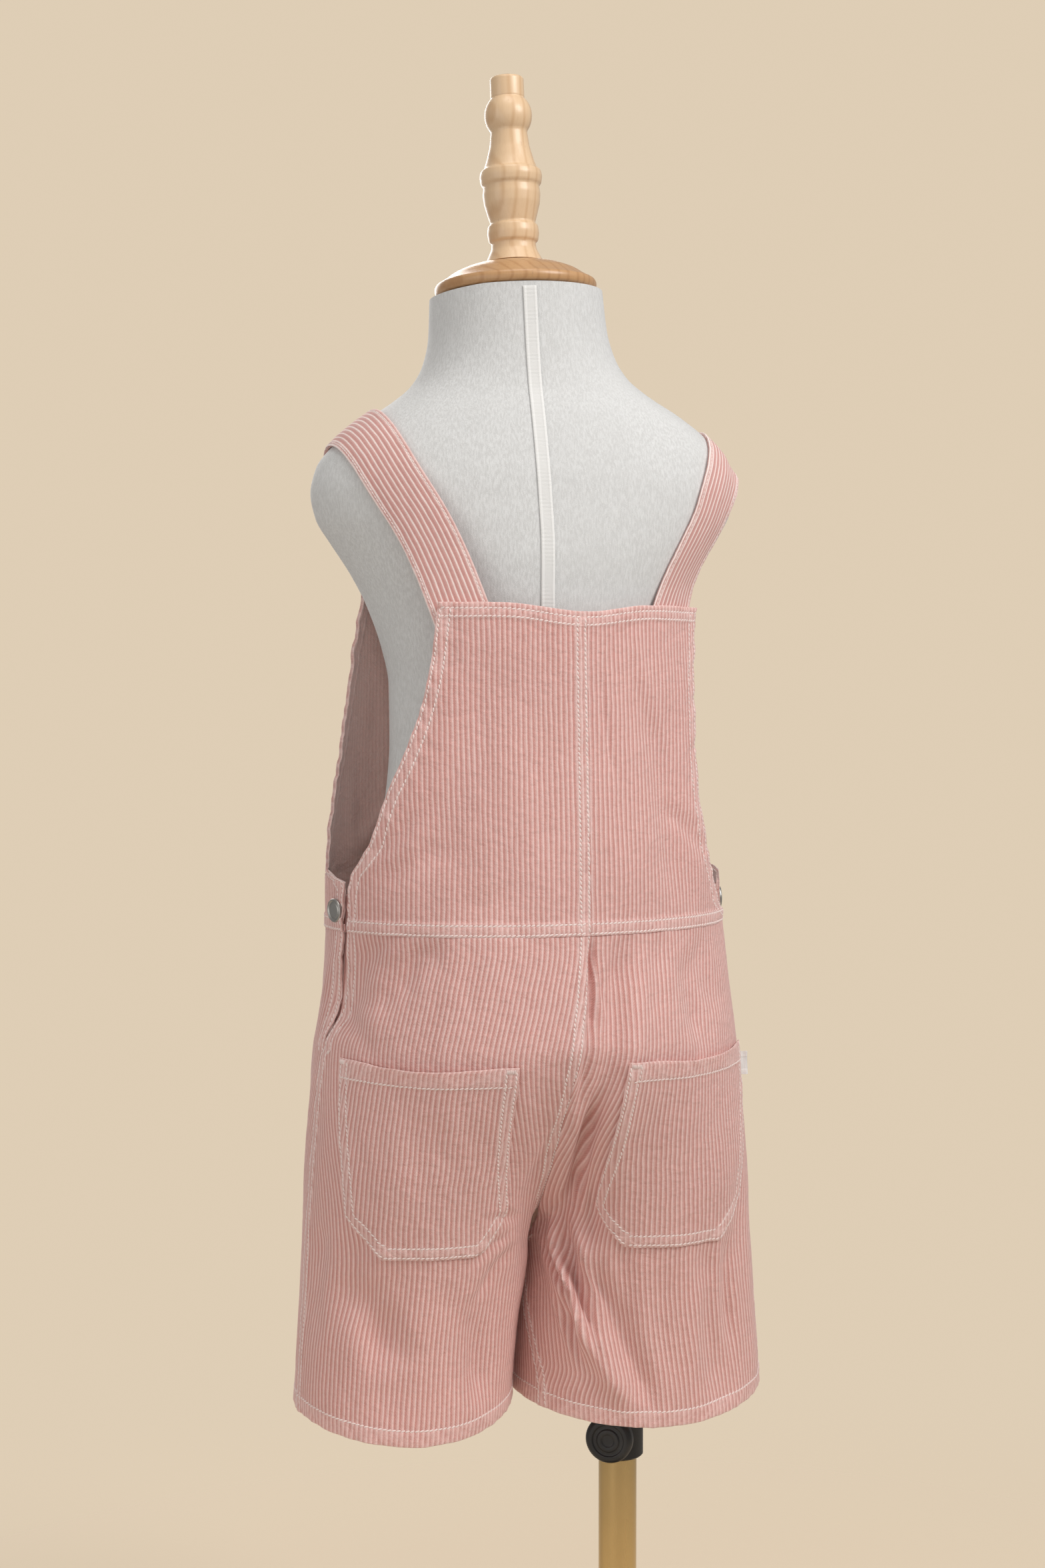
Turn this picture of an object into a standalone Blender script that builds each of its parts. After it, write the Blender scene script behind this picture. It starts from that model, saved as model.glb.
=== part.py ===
"""A child's striped dungaree shorts on a limbless dress form with a turned neck block and a pole stand.

Metres, +Z up. The row's origin is on the floor, on the pole's axis. The garment's front faces -Y, so
the wearer's left is +X. Garment heights are measured from the hem at the side seams.
"""

import math
from collections import namedtuple

import bmesh
import bpy
import numpy as np
from mathutils import Matrix, Vector

# ---------------------------------------------------------------- driving sizes
HEM_HEIGHT = 0.330          # the hem at the side seams, above the floor
GARMENT_AXIS_X = 0.063      # the garment hangs this far to the wearer's left of the pole
SEAM_GAP = 0.0003           # between two pieces that are sewn together
CLOTH = 0.0013              # one layer of striped twill
FOLDED_EDGE = 0.0026        # a turned and stitched edge, two layers

CROTCH = 0.098              # height of the crotch above the hem
WAIST = 0.309               # height of the waist seam
SEAT_START = 0.240          # height where the seat seam leaves the back and runs under
BACK_BIB_TOP = 0.509
FRONT_BIB_TOP = 0.548
HEM_DIP = 0.010             # the hem hangs lower behind than at the sides
HEM_TURN = 0.010            # depth of the turned hem
RIGHT_FLARE = 0.009         # the right leg stands out this much further at its hem
INSEAM_TURN = 28.0          # degrees that the right leg's inseam has swung towards the back at the hem

STRAP_WIDTH = 0.036
STRAP_WALL = 0.0022
STRAP_CLEARANCE = 0.0008    # between a strap and the form under it
STRAP_BRIDGE = 0.006        # a strap's edge falls no further than this below its middle
STRAP_CALM = 0.85           # a strap is as level as the form is at this share of its distance out
STRAP_HUB = 0.575           # height of the line that each strap winds round
STRAP_BACK_END = 0.498      # under the back bib's top hem
STRAP_FRONT_END = 0.512     # on the front bib, below its top hem

POCKET_HEIGHT = 0.123
POCKET_TOP = 0.231
POCKET_CORNER = 0.026       # the cut-off bottom corners
POCKET_OUTER = 0.235        # its sides, as places across the back leg from the side seam
POCKET_INNER = 0.838
POCKET_INNER_FOOT = 0.745
POCKET_LEAST_STEP = 0.006   # between neighbouring points along its cut corners
POCKET_COLUMNS = (3, 11)    # the leg grid's columns at those sides
POCKET_GAP = 0.0005
POCKET_CORNER_LIFT = 0.0007 # the cut corners stand a little further off the leg
QUARTER_GIRTH = 0.195       # about the distance from a side seam to the seat seam

OPENING_BOTTOM = 0.232      # foot of each side opening
OPENING_TOP = 0.342         # foot of each armhole
OPENING_GAPE = 0.0045       # how far a side opening stands apart at its middle
SIDE_TAB_HEIGHT = 0.212
SIDE_BUTTON_HEIGHT = 0.320
SIDE_BUTTON_ANGLE = 0.115   # radians behind the garment's side, on the front piece's end
SIDE_SEAM_SET = 0.045       # each side seam lies this share of a quarter behind the side at the hem
SIDE_SEAM_SWEEP = 0.090     # and this much further at the waist

FORM_TURN = -7.0            # degrees, the form against the garment, seen from above
NECK_LEAN = 2.5             # degrees, the neck leans to the wearer's left
NECK_LEAN_START = 0.550
FORM_BOTTOM = 0.195
NECK_TOP = 0.709
SHOULDER_DROP = 0.07        # the left shoulder falls this much for each metre out from its start
SHOULDER_DROP_START = 0.035
TAPE_HALF_WIDTH = 0.0042

POLE_RADIUS = 0.0125
POLE_TOP = 0.300            # above the hem, inside the form
POLE_BORE_TOP = 0.445
SLEEVE_RADIUS = 0.0155
SLEEVE_BORE = 0.0129
SLEEVE_TOP = 0.217
COLLAR_RADIUS = 0.0168
COLLAR_TOP = -0.012
COLLAR_BOTTOM = -0.047
KNOB_HEIGHT = -0.0295
KNOB_RADIUS = 0.0155
KNOB_DIRECTION = 58.0       # degrees from +X, seen from above
BASE_RADIUS = 0.150
BASE_THICKNESS = 0.010

# ---------------------------------------------------------------- tables
# The garment's outline at each height: half its width, its depth behind and in front of its axis, and
# how far it has twisted about that axis, in degrees.
Girth = namedtuple("Girth", "height half_width back front twist")
GIRTHS = [
    Girth(0.000, 0.1505, 0.112, 0.103, -3.0),
    Girth(0.098, 0.1455, 0.112, 0.103, -3.0),
    Girth(0.180, 0.1420, 0.113, 0.104, -2.5),
    Girth(0.231, 0.1390, 0.110, 0.103, -1.0),
    Girth(0.270, 0.1345, 0.104, 0.100, 2.0),
    Girth(0.309, 0.1320, 0.098, 0.097, 4.5),
    Girth(0.342, 0.1320, 0.096, 0.095, 5.0),
    Girth(0.393, 0.1290, 0.092, 0.092, 5.5),
    Girth(0.450, 0.1250, 0.088, 0.089, 6.0),
    Girth(0.509, 0.1230, 0.086, 0.089, 6.0),
    Girth(0.560, 0.1280, 0.083, 0.092, 6.0),
    Girth(0.640, 0.1300, 0.080, 0.090, 6.0),
]

# Each leg's tube: half its depth, where its centre lies behind the axis, how far its inner side is from
# the line between the legs, and how far that line has moved to the wearer's left.
Leg = namedtuple("Leg", "height half_depth centre_y inner_x between_x")
LEGS = [
    Leg(0.000, 0.0690, -0.008, 0.0016, 0.0080),
    Leg(0.050, 0.0710, -0.008, 0.0009, 0.0050),
    Leg(0.098, 0.0740, -0.006, 0.00015, 0.0),
    Leg(0.160, 0.0800, -0.003, 0.00015, 0.0),
    Leg(0.240, 0.0860, 0.000, 0.00015, 0.0),
]

# How far each bib reaches to the wearer's left and right, from its top hem down its armhole edges.
BibEdge = namedtuple("BibEdge", "height left right")
BACK_BIB_EDGE = [
    BibEdge(WAIST, 0.1288, 0.1286),
    BibEdge(0.315, 0.1287, 0.1215),
    BibEdge(0.323, 0.1285, 0.1140),
    BibEdge(0.342, 0.1272, 0.1055),
    BibEdge(0.352, 0.1240, 0.1015),
    BibEdge(0.364, 0.1190, 0.0980),
    BibEdge(0.393, 0.1115, 0.0925),
    BibEdge(0.411, 0.1050, 0.0905),
    BibEdge(0.439, 0.0960, 0.0900),
    BibEdge(0.468, 0.0895, 0.0910),
    BibEdge(0.509, 0.0845, 0.0935),
]
FRONT_BIB_EDGE = [
    BibEdge(0.342, 0.1300, 0.1300),
    BibEdge(0.356, 0.1270, 0.1270),
    BibEdge(0.398, 0.1180, 0.1180),
    BibEdge(0.431, 0.1110, 0.1110),
    BibEdge(0.466, 0.1040, 0.1040),
    BibEdge(0.510, 0.0945, 0.0945),
    BibEdge(0.548, 0.0840, 0.0840),
]

# Where each strap's middle line lies to the wearer's left: at the back bib, on the shoulder, at the front.
# back_y and front_y are how far behind and in front of the axis the bibs are there.
StrapRoute = namedtuple("StrapRoute", "back_x shoulder_x front_x back_y front_y")
STRAP_ROUTES = {
    "strap_left": StrapRoute(0.054, 0.1135, 0.066, 0.068, 0.074),
    "strap_right": StrapRoute(-0.0775, -0.1245, -0.066, 0.056, 0.074),
}

# The dress form's outline at each height above the hem.
FormRing = namedtuple("FormRing", "height half_width back front")
FORM_RINGS = [
    FormRing(0.195, 0.0880, 0.0560, 0.0560),
    FormRing(0.201, 0.0950, 0.0630, 0.0630),
    FormRing(0.214, 0.1000, 0.0700, 0.0680),
    FormRing(0.236, 0.1030, 0.0750, 0.0720),
    FormRing(0.268, 0.1020, 0.0760, 0.0740),
    FormRing(0.310, 0.0980, 0.0700, 0.0760),
    FormRing(0.363, 0.0940, 0.0660, 0.0780),
    FormRing(0.425, 0.0885, 0.0700, 0.0760),
    FormRing(0.462, 0.0890, 0.0730, 0.0750),
    FormRing(0.487, 0.0935, 0.0745, 0.0740),
    FormRing(0.515, 0.1030, 0.0755, 0.0730),
    FormRing(0.535, 0.1130, 0.0760, 0.0700),
    FormRing(0.556, 0.1260, 0.0745, 0.0660),
    FormRing(0.572, 0.1345, 0.0725, 0.0630),
    FormRing(0.587, 0.1370, 0.0705, 0.0600),
    FormRing(0.603, 0.1330, 0.0670, 0.0570),
    FormRing(0.618, 0.1210, 0.0630, 0.0530),
    FormRing(0.631, 0.1040, 0.0590, 0.0500),
    FormRing(0.643, 0.0840, 0.0550, 0.0485),
    FormRing(0.654, 0.0700, 0.0530, 0.0475),
    FormRing(0.667, 0.0620, 0.0515, 0.0470),
    FormRing(0.684, 0.0575, 0.0505, 0.0470),
    FormRing(NECK_TOP, 0.0555, 0.0500, 0.0480),
]

# Large folds, each a soft trough between two points on one side of the garment: side is +1 behind and
# -1 in front, x and height give its ends, width and depth its form. A negative depth is a ridge.
Fold = namedtuple("Fold", "side x0 height0 x1 height1 width depth")
FOLDS = [
    Fold(1, -0.026, 0.296, -0.018, 0.205, 0.0110, 0.0075),
    Fold(1, -0.018, 0.205, -0.026, 0.112, 0.0100, 0.0090),
    Fold(1, -0.039, 0.285, -0.034, 0.150, 0.0090, -0.0030),
    Fold(1, 0.116, 0.300, 0.136, 0.246, 0.0090, 0.0060),
    Fold(1, 0.088, 0.302, 0.118, 0.262, 0.0100, 0.0040),
    Fold(1, -0.012, 0.090, -0.050, 0.008, 0.0070, -0.0065),
    Fold(1, -0.026, 0.092, -0.066, 0.006, 0.0080, 0.0060),
    Fold(1, 0.030, 0.100, 0.046, 0.012, 0.0140, 0.0050),
    Fold(1, 0.094, 0.100, 0.104, 0.006, 0.0160, 0.0035),
    Fold(1, -0.108, 0.104, -0.116, 0.006, 0.0150, 0.0040),
    Fold(1, -0.050, 0.450, -0.070, 0.330, 0.0120, 0.0035),
    Fold(1, 0.056, 0.470, 0.090, 0.345, 0.0140, 0.0030),
    Fold(-1, 0.020, 0.290, 0.012, 0.130, 0.0120, 0.0070),
    Fold(-1, -0.030, 0.280, -0.014, 0.120, 0.0120, 0.0060),
    Fold(-1, -0.112, 0.300, -0.132, 0.236, 0.0100, 0.0060),
    Fold(-1, 0.112, 0.300, 0.130, 0.240, 0.0100, 0.0050),
    Fold(-1, 0.040, 0.096, 0.060, 0.008, 0.0140, 0.0055),
    Fold(-1, -0.044, 0.098, -0.062, 0.010, 0.0140, 0.0050),
    Fold(-1, 0.050, 0.490, 0.078, 0.350, 0.0140, 0.0030),
    Fold(-1, -0.056, 0.480, -0.082, 0.345, 0.0140, 0.0030),
]

Finish = namedtuple("Finish", "colour roughness metallic")
FINISHES = {
    "striped_twill": Finish((0.62, 0.31, 0.28), 0.90, 0.0),
    "strap_twill": Finish((0.58, 0.24, 0.22), 0.90, 0.0),
    "form_velvet": Finish((0.66, 0.67, 0.66), 0.85, 0.0),
    "tape": Finish((0.82, 0.82, 0.80), 0.70, 0.0),
    "tab": Finish((0.85, 0.84, 0.82), 0.80, 0.0),
    "wood": Finish((0.66, 0.42, 0.22), 0.45, 0.0),
    "nickel": Finish((0.60, 0.60, 0.60), 0.30, 1.0),
    "brass": Finish((0.62, 0.46, 0.19), 0.28, 1.0),
    "black_plastic": Finish((0.02, 0.02, 0.02), 0.40, 0.0),
    "black_steel": Finish((0.03, 0.03, 0.03), 0.45, 0.6),
}


# ---------------------------------------------------------------- scene helpers
def clear_scene():
    """Removes every object, so that the script starts from nothing."""
    for item in list(bpy.data.objects):
        bpy.data.objects.remove(item, do_unlink=True)


def new_collection(name):
    """A collection of that name, linked to the scene."""
    group = bpy.data.collections.new(name)
    bpy.context.scene.collection.children.link(group)
    return group


def finish_material(name):
    """The Principled material of one finish, made once."""
    if name in bpy.data.materials:
        return bpy.data.materials[name]
    look = FINISHES[name]
    material = bpy.data.materials.new(name)
    material.use_nodes = True
    shader = material.node_tree.nodes["Principled BSDF"]
    shader.inputs["Base Color"].default_value = (*look.colour, 1.0)
    shader.inputs["Roughness"].default_value = look.roughness
    shader.inputs["Metallic"].default_value = look.metallic
    return material


def add_object(name, mesh, finish, parent=None, sharp_degrees=40.0):
    """One sub-part, in the parts' collection, with its finish and smooth shading."""
    item = bpy.data.objects.new(name, mesh)
    PARTS.objects.link(item)
    mesh.materials.clear()
    mesh.materials.append(finish_material(finish))
    mesh.shade_smooth()
    mesh.set_sharp_from_angle(angle=math.radians(sharp_degrees))
    item.parent = parent
    return item


def add_empty(name, location, rotation=(0.0, 0.0, 0.0), parent=None):
    """An axis that other pieces are placed from."""
    item = bpy.data.objects.new(name, None)
    PARTS.objects.link(item)
    item.location = location
    item.rotation_euler = rotation
    item.parent = parent
    return item


def cylinder_mesh(name, radius, low, high, segments=32):
    """A closed cylinder on +Z between two heights."""
    mesh = bpy.data.meshes.new(name)
    shape = bmesh.new()
    middle = Matrix.Translation((0.0, 0.0, (low + high) / 2))
    bmesh.ops.create_cone(shape, cap_ends=True, segments=segments, radius1=radius, radius2=radius,
                          depth=high - low, matrix=middle)
    shape.to_mesh(mesh)
    shape.free()
    return mesh


def turned_object(name, profile, finish, steps=32, parent=None):
    """A profile of (radius, height) pairs, top to bottom, turned round +Z by a Screw modifier."""
    mesh = bpy.data.meshes.new(name)
    closed = profile[0] == profile[-1]
    points = profile[:-1] if closed else profile
    edges = [(i, i + 1) for i in range(len(points) - 1)]
    if closed:
        edges.append((len(points) - 1, 0))
    mesh.from_pydata([(radius, 0.0, height) for radius, height in points], edges, [])
    item = add_object(name, mesh, finish, parent)
    screw = item.modifiers.new("turn", "SCREW")
    screw.steps = steps
    screw.render_steps = steps
    screw.use_merge_vertices = True
    screw.merge_threshold = 0.00001
    screw.use_smooth_shade = True
    return item


def cut(item, cutter_mesh, location, rotation=(0.0, 0.0, 0.0), parent=None):
    """Cuts a cutter's shape out of an item with an exact Boolean."""
    cutter = bpy.data.objects.new(item.name + "_cutter", cutter_mesh)
    CUTTERS.objects.link(cutter)
    cutter.location = location
    cutter.rotation_euler = rotation
    cutter.parent = parent
    cutter.hide_render = True
    cutter.display_type = "WIRE"
    boolean = item.modifiers.new("cut", "BOOLEAN")
    boolean.operation = "DIFFERENCE"
    boolean.solver = "EXACT"
    boolean.object = cutter


# ---------------------------------------------------------------- smooth tables
def column_at(rows, column, height):
    """A table's column at any height, by cubic pieces through its rows that keep its rises and falls."""
    x = np.array([row.height for row in rows])
    y = np.array([getattr(row, column) for row in rows])
    span = np.diff(x)
    rise = np.diff(y) / span
    slope = np.zeros_like(y)
    slope[0] = rise[0]
    slope[-1] = rise[-1]
    both = rise[:-1] * rise[1:] > 0
    mean = 2 * rise[:-1] * rise[1:] / np.where(both, rise[:-1] + rise[1:], 1.0)
    slope[1:-1] = np.where(both, mean, 0.0)
    height = np.clip(height, x[0], x[-1])
    i = np.clip(np.searchsorted(x, height) - 1, 0, len(x) - 2)
    u = (height - x[i]) / span[i]
    start = (1 + 2 * u) * (1 - u) ** 2 * y[i] + u * u * (3 - 2 * u) * y[i + 1]
    return start + span[i] * (u * (1 - u) ** 2 * slope[i] - u * u * (1 - u) * slope[i + 1])


def ease(value, low, high):
    """0 up to low, 1 from high, and a smooth step between."""
    u = np.clip((value - low) / (high - low), 0.0, 1.0)
    return u * u * (3 - 2 * u)


def bump(value, low, high):
    """A smooth hump that is 0 at low and at high and 1 half way."""
    u = np.clip((value - low) / (high - low), 0.0, 1.0)
    return np.sin(math.pi * u) ** 2


def turned_about_axis(points, degrees):
    """Points turned about the garment's upright axis."""
    angle = np.radians(degrees)
    x = points[..., 0] * np.cos(angle) - points[..., 1] * np.sin(angle)
    y = points[..., 0] * np.sin(angle) + points[..., 1] * np.cos(angle)
    return np.stack([x, y, points[..., 2]], axis=-1)


# ---------------------------------------------------------------- cloth surfaces
def folded(points, centre_x):
    """Points moved in or out by the garment's large folds, away from an upright line at centre_x."""
    offset_x = points[..., 0] - centre_x
    out = np.stack([offset_x, points[..., 1], np.zeros_like(offset_x)], axis=-1)
    out /= np.maximum(np.linalg.norm(out, axis=-1, keepdims=True), 1e-6)
    move = np.zeros(points.shape[:-1])
    for fold in FOLDS:
        along = np.array([fold.x1 - fold.x0, fold.height1 - fold.height0])
        length = np.hypot(*along)
        along = along / length
        x = points[..., 0] - fold.x0
        z = points[..., 2] - fold.height0
        u = (x * along[0] + z * along[1]) / length
        away = x * along[1] - z * along[0]
        reach = ease(u, -0.15, 0.2) * (1 - ease(u, 0.8, 1.15))
        face = ease(points[..., 1] * fold.side, 0.0, 0.030)
        move -= fold.depth * np.exp(-((away / fold.width) ** 2)) * reach * face
    return points + out * move[..., None]


def body_surface(angle, height):
    """The garment round the body: angle 0 is the left side, pi/2 the back and -pi/2 the front."""
    width = column_at(GIRTHS, "half_width", height)
    depth = np.where(np.sin(angle) >= 0, column_at(GIRTHS, "back", height), column_at(GIRTHS, "front", height))
    points = np.stack([width * np.cos(angle), depth * np.sin(angle), height + 0 * angle], axis=-1)
    return turned_about_axis(folded(points, 0.0), column_at(GIRTHS, "twist", height))


def leg_surface(across, height, side, face):
    """One quarter of the shorts. across runs from 0 at the side seam to 1 at the seat seam or inseam,
    side is +1 on the wearer's left, and face is +1 behind. Above the seat the section is the body's
    quarter, below the crotch it is half of the leg's ring, and between them one eases into the other."""
    flare = RIGHT_FLARE * (1 - ease(height, 0.0, SEAT_START)) if side < 0 else 0.0
    width = column_at(GIRTHS, "half_width", height) + flare
    behind = face * across >= 0
    depth = np.where(behind, column_at(GIRTHS, "back", height), column_at(GIRTHS, "front", height))
    inner = column_at(LEGS, "inner_x", height) + side * column_at(LEGS, "between_x", height)
    half_depth = column_at(LEGS, "half_depth", height)
    centre_y = column_at(LEGS, "centre_y", height)
    swing = np.radians(INSEAM_TURN) * (1 - ease(height, 0.0, CROTCH)) if side < 0 else 0.0
    quarter = across * math.pi / 2
    around = across * math.pi - face * swing * across ** 2
    body = np.stack([width * np.cos(quarter), face * depth * np.sin(quarter)], axis=-1)
    ring_x = (width + inner) / 2 + (width - inner) / 2 * np.cos(around)
    ring = np.stack([ring_x, centre_y + face * half_depth * np.sin(around)], axis=-1)
    fall = np.clip((SEAT_START - height) / (SEAT_START - CROTCH), 0.0, 1.0)
    lobe = fall * fall * (3 - 2 * fall)
    seam = fall ** 1.3
    share = (lobe * (1 - across ** 4) + seam * across ** 4)[..., None]
    flat = body * (1 - share) + ring * share
    dip = HEM_DIP * np.maximum(face * np.sin(around), 0.0) ** 2 * (1 - ease(height, 0.0, CROTCH))
    points = np.stack([side * flat[..., 0], flat[..., 1], height - dip], axis=-1)
    middle = side * (width + inner) / 2 * np.clip((WAIST - height) / (WAIST - CROTCH), 0.0, 1.0)
    return turned_about_axis(folded(points, middle), column_at(GIRTHS, "twist", height))


def leg_quarter(side, face):
    """One quarter of the shorts as a surface of the place across it and the height."""
    return lambda across, height: leg_surface(across, height, side, face)


def outward_normals(surface, place, height):
    """Unit normals of a surface at a grid of places and heights, facing away from the garment's inside."""
    step = 0.002
    across = surface(place + step, height) - surface(place - step, height)
    upward = surface(place, height + step) - surface(place, height - step)
    normal = np.cross(across, upward)
    normal /= np.linalg.norm(normal, axis=-1, keepdims=True)
    points = surface(place, height)
    middle = points.reshape(-1, 3).mean(axis=0) * np.array([1.0, 1.0, 0.0])
    facing = (normal.reshape(-1, 3) @ middle).mean()
    return normal if facing > 0 else -normal


def wall_object(name, outer, inner, finish, parent, sharp_degrees=55.0):
    """A closed wall between two grids of points, its four rims included."""
    rows, columns = outer.shape[:2]
    count = rows * columns
    index = np.arange(count).reshape(rows, columns)
    corner = [index[:-1, :-1], index[:-1, 1:], index[1:, 1:], index[1:, :-1]]
    halves = [np.stack([corner[0], corner[1], corner[2]], axis=-1).reshape(-1, 3),
              np.stack([corner[0], corner[2], corner[3]], axis=-1).reshape(-1, 3)]
    front = np.concatenate(halves)
    back = front[:, ::-1] + count
    rim = np.concatenate([index[0, :-1], index[:-1, -1], index[-1, :0:-1], index[:0:-1, 0]])
    after = np.roll(rim, -1)
    side = np.stack([after, rim, rim + count, after + count], axis=-1)
    faces = front.tolist() + back.tolist() + side.tolist()
    points = np.concatenate([outer.reshape(-1, 3), inner.reshape(-1, 3)])
    mesh = bpy.data.meshes.new(name)
    mesh.from_pydata(points.tolist(), [], faces)
    shape = bmesh.new()
    shape.from_mesh(mesh)
    bmesh.ops.recalc_face_normals(shape, faces=shape.faces)
    shape.to_mesh(mesh)
    shape.free()
    return add_object(name, mesh, finish, parent, sharp_degrees)


def edge_thickness(rows, columns, turned):
    """One layer of cloth over a grid, with two layers along the named turned edges."""
    wall = np.full((rows, columns), CLOTH)
    if "top" in turned:
        wall[:2, :] = FOLDED_EDGE
    if "bottom" in turned:
        wall[-2:, :] = FOLDED_EDGE
    if "start" in turned:
        wall[:, :2] = FOLDED_EDGE
    if "end" in turned:
        wall[:, -2:] = FOLDED_EDGE
    return wall


def cloth_panel(name, surface, place, height, turned, parent):
    """A garment piece: its outer face lies on a surface, and its wall grows inwards."""
    height = np.broadcast_to(height, place.shape)
    points = surface(place, height)
    wall = edge_thickness(points.shape[0], points.shape[1], turned)
    inner = points - outward_normals(surface, place, height) * wall[..., None]
    return wall_object(name, points, inner, "striped_twill", parent)


# ---------------------------------------------------------------- the garment's pieces
def opening_pull(height):
    """How far each edge of a side opening is drawn back, as a share of a quarter of the girth."""
    gape = OPENING_GAPE / 2 * bump(height, OPENING_BOTTOM, OPENING_TOP + 0.02)
    return (SEAM_GAP / 2 + gape) / QUARTER_GIRTH


def side_seam(height):
    """How far behind the garment's side its side seam lies, as a share of a quarter of the girth."""
    return SIDE_SEAM_SET + SIDE_SEAM_SWEEP * ease(height, CROTCH, WAIST)


def leg_grid(face):
    """The places across and heights of a leg panel's grid, with lines at the back pocket's edges."""
    pocket_bottom = POCKET_TOP - POCKET_HEIGHT
    height = np.concatenate([np.linspace(WAIST - SEAM_GAP / 2, POCKET_TOP, 5),
                             np.linspace(POCKET_TOP, pocket_bottom + POCKET_CORNER, 6)[1:],
                             [pocket_bottom + POCKET_CORNER / 2, pocket_bottom],
                             [CROTCH, CROTCH * 0.72, CROTCH * 0.45, CROTCH * 0.22, HEM_TURN, 0.0]])[:, None]
    inner = POCKET_INNER_FOOT + (POCKET_INNER - POCKET_INNER_FOOT) * ease(height, pocket_bottom, POCKET_TOP)
    start = face * side_seam(height) + opening_pull(height)
    across = np.concatenate([start + (POCKET_OUTER - start) * np.linspace(0.0, 1.0, 4),
                             POCKET_OUTER + (inner - POCKET_OUTER) * np.linspace(0.0, 1.0, 9)[1:],
                             inner + (1 - inner) * np.linspace(0.0, 1.0, 4)[1:]], axis=1)
    end = SEAM_GAP / 2 / QUARTER_GIRTH * np.maximum(across, 0.0)
    return across - end, height


def leg_panel(name, side, face, parent):
    """A back or front leg: from the waist seam to the hem, from the side seam to the seat or inseam."""
    across, height = leg_grid(face)
    cloth_panel(name, leg_quarter(side, face), across, height, ("bottom",), parent)


def bib_angles(height, edge_rows, side):
    """How far round from the garment's side a bib's armhole edge lies at each height."""
    width = column_at(GIRTHS, "half_width", height)
    edge = column_at(edge_rows, "left" if side > 0 else "right", height)
    return np.arccos(np.clip(edge / width, -1.0, 1.0)) + opening_pull(height) * math.pi / 2


def front_bib_angles(height, side):
    """The same for the front bib, whose wings below its armholes reach back to the side openings."""
    wing = (opening_pull(height) - side_seam(height)) * math.pi / 2
    return np.where(height > OPENING_TOP, bib_angles(height, FRONT_BIB_EDGE, side), wing)


def back_bib_panel(name, side, parent):
    """Half of the back bib, from the centre seam to its armhole edge and down to the waist seam."""
    height = np.array([BACK_BIB_TOP, 0.500, 0.485, 0.468, 0.450, 0.430, 0.411, 0.393, 0.378, 0.364, 0.353,
                       0.3445, 0.333, 0.321, WAIST + SEAM_GAP / 2])[:, None]
    start = bib_angles(height, BACK_BIB_EDGE, side)
    end = math.pi / 2 * (1 - SEAM_GAP / 2 / QUARTER_GIRTH)
    angle = start + (end - start) * np.linspace(0.0, 1.0, 10)[None, :]
    angle = angle if side > 0 else math.pi - angle
    cloth_panel(name, body_surface, angle, height, ("top", "start"), parent)


def front_bib_panel(name, parent):
    """The front bib, cut whole, from its top hem down its armhole edges to the waist seam."""
    height = np.array([FRONT_BIB_TOP, 0.538, 0.525, 0.510, 0.493, 0.475, 0.453, 0.430, 0.405, 0.382, 0.362,
                       0.3445, 0.333, 0.321, WAIST + SEAM_GAP / 2])[:, None]
    start = front_bib_angles(height, 1)
    end = math.pi - front_bib_angles(height, -1)
    angle = -(start + (end - start) * np.linspace(0.0, 1.0, 17)[None, :])
    cloth_panel(name, body_surface, angle, height, ("top", "start", "end"), parent)


def along_row(values, shares, wanted):
    """Rows of points read at other places across, on the straight lines between their grid points."""
    read = [np.stack([np.interp(place, share, row[:, axis]) for axis in range(3)], axis=-1)
            for row, share, place in zip(values, shares, wanted)]
    return np.array(read)


def pocket_patch(name, side, parent):
    """A patch pocket: the back leg's own grid points under it, moved out, its bottom corners cut off."""
    across, height = leg_grid(1)
    top = int(np.argmin(np.abs(height - POCKET_TOP)))
    bottom = int(np.argmin(np.abs(height - POCKET_TOP + POCKET_HEIGHT)))
    across = across[top:bottom + 1]
    height = np.broadcast_to(height[top:bottom + 1], across.shape)
    back = leg_quarter(side, 1)
    points = back(across, height)
    out = outward_normals(back, across, height)
    first = POCKET_COLUMNS[0]
    last = POCKET_COLUMNS[1]
    rise = height[:, :1] - (POCKET_TOP - POCKET_HEIGHT)
    corner = np.clip(1 - rise / POCKET_CORNER, 0.0, 1.0)
    inset = POCKET_CORNER / QUARTER_GIRTH * corner
    count = last - first + 1
    order = np.arange(count)[None, :]
    low = across[:, first:first + 1] + inset + order * POCKET_LEAST_STEP
    high = across[:, last:last + 1] - inset - (count - 1 - order) * POCKET_LEAST_STEP
    wanted = np.clip(across[:, first:last + 1], low, high)
    points = along_row(points, across, wanted)
    out = along_row(out, across, wanted)
    wall = edge_thickness(points.shape[0], points.shape[1], ("top",))
    inner = points + out * (POCKET_GAP + POCKET_CORNER_LIFT * corner[..., None])
    wall_object(name, inner + out * wall[..., None], inner, "striped_twill", parent)


def side_facing(name, side, parent):
    """The strip behind a side opening, sewn inside the back piece and lapped behind the front."""
    height = np.linspace(OPENING_TOP - 0.012, OPENING_BOTTOM - 0.006, 9)[:, None]
    angle = side_seam(height) * math.pi / 2 + np.linspace(-0.085, 0.085, 5)[None, :]
    height = np.broadcast_to(height, angle.shape)
    angle = angle if side > 0 else math.pi - angle
    out = outward_normals(body_surface, angle, height)
    outer = body_surface(angle, height) - out * (FOLDED_EDGE + 4 * SEAM_GAP)
    inner = outer - out * CLOTH
    wall_object(name, outer, inner, "striped_twill", parent)


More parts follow.
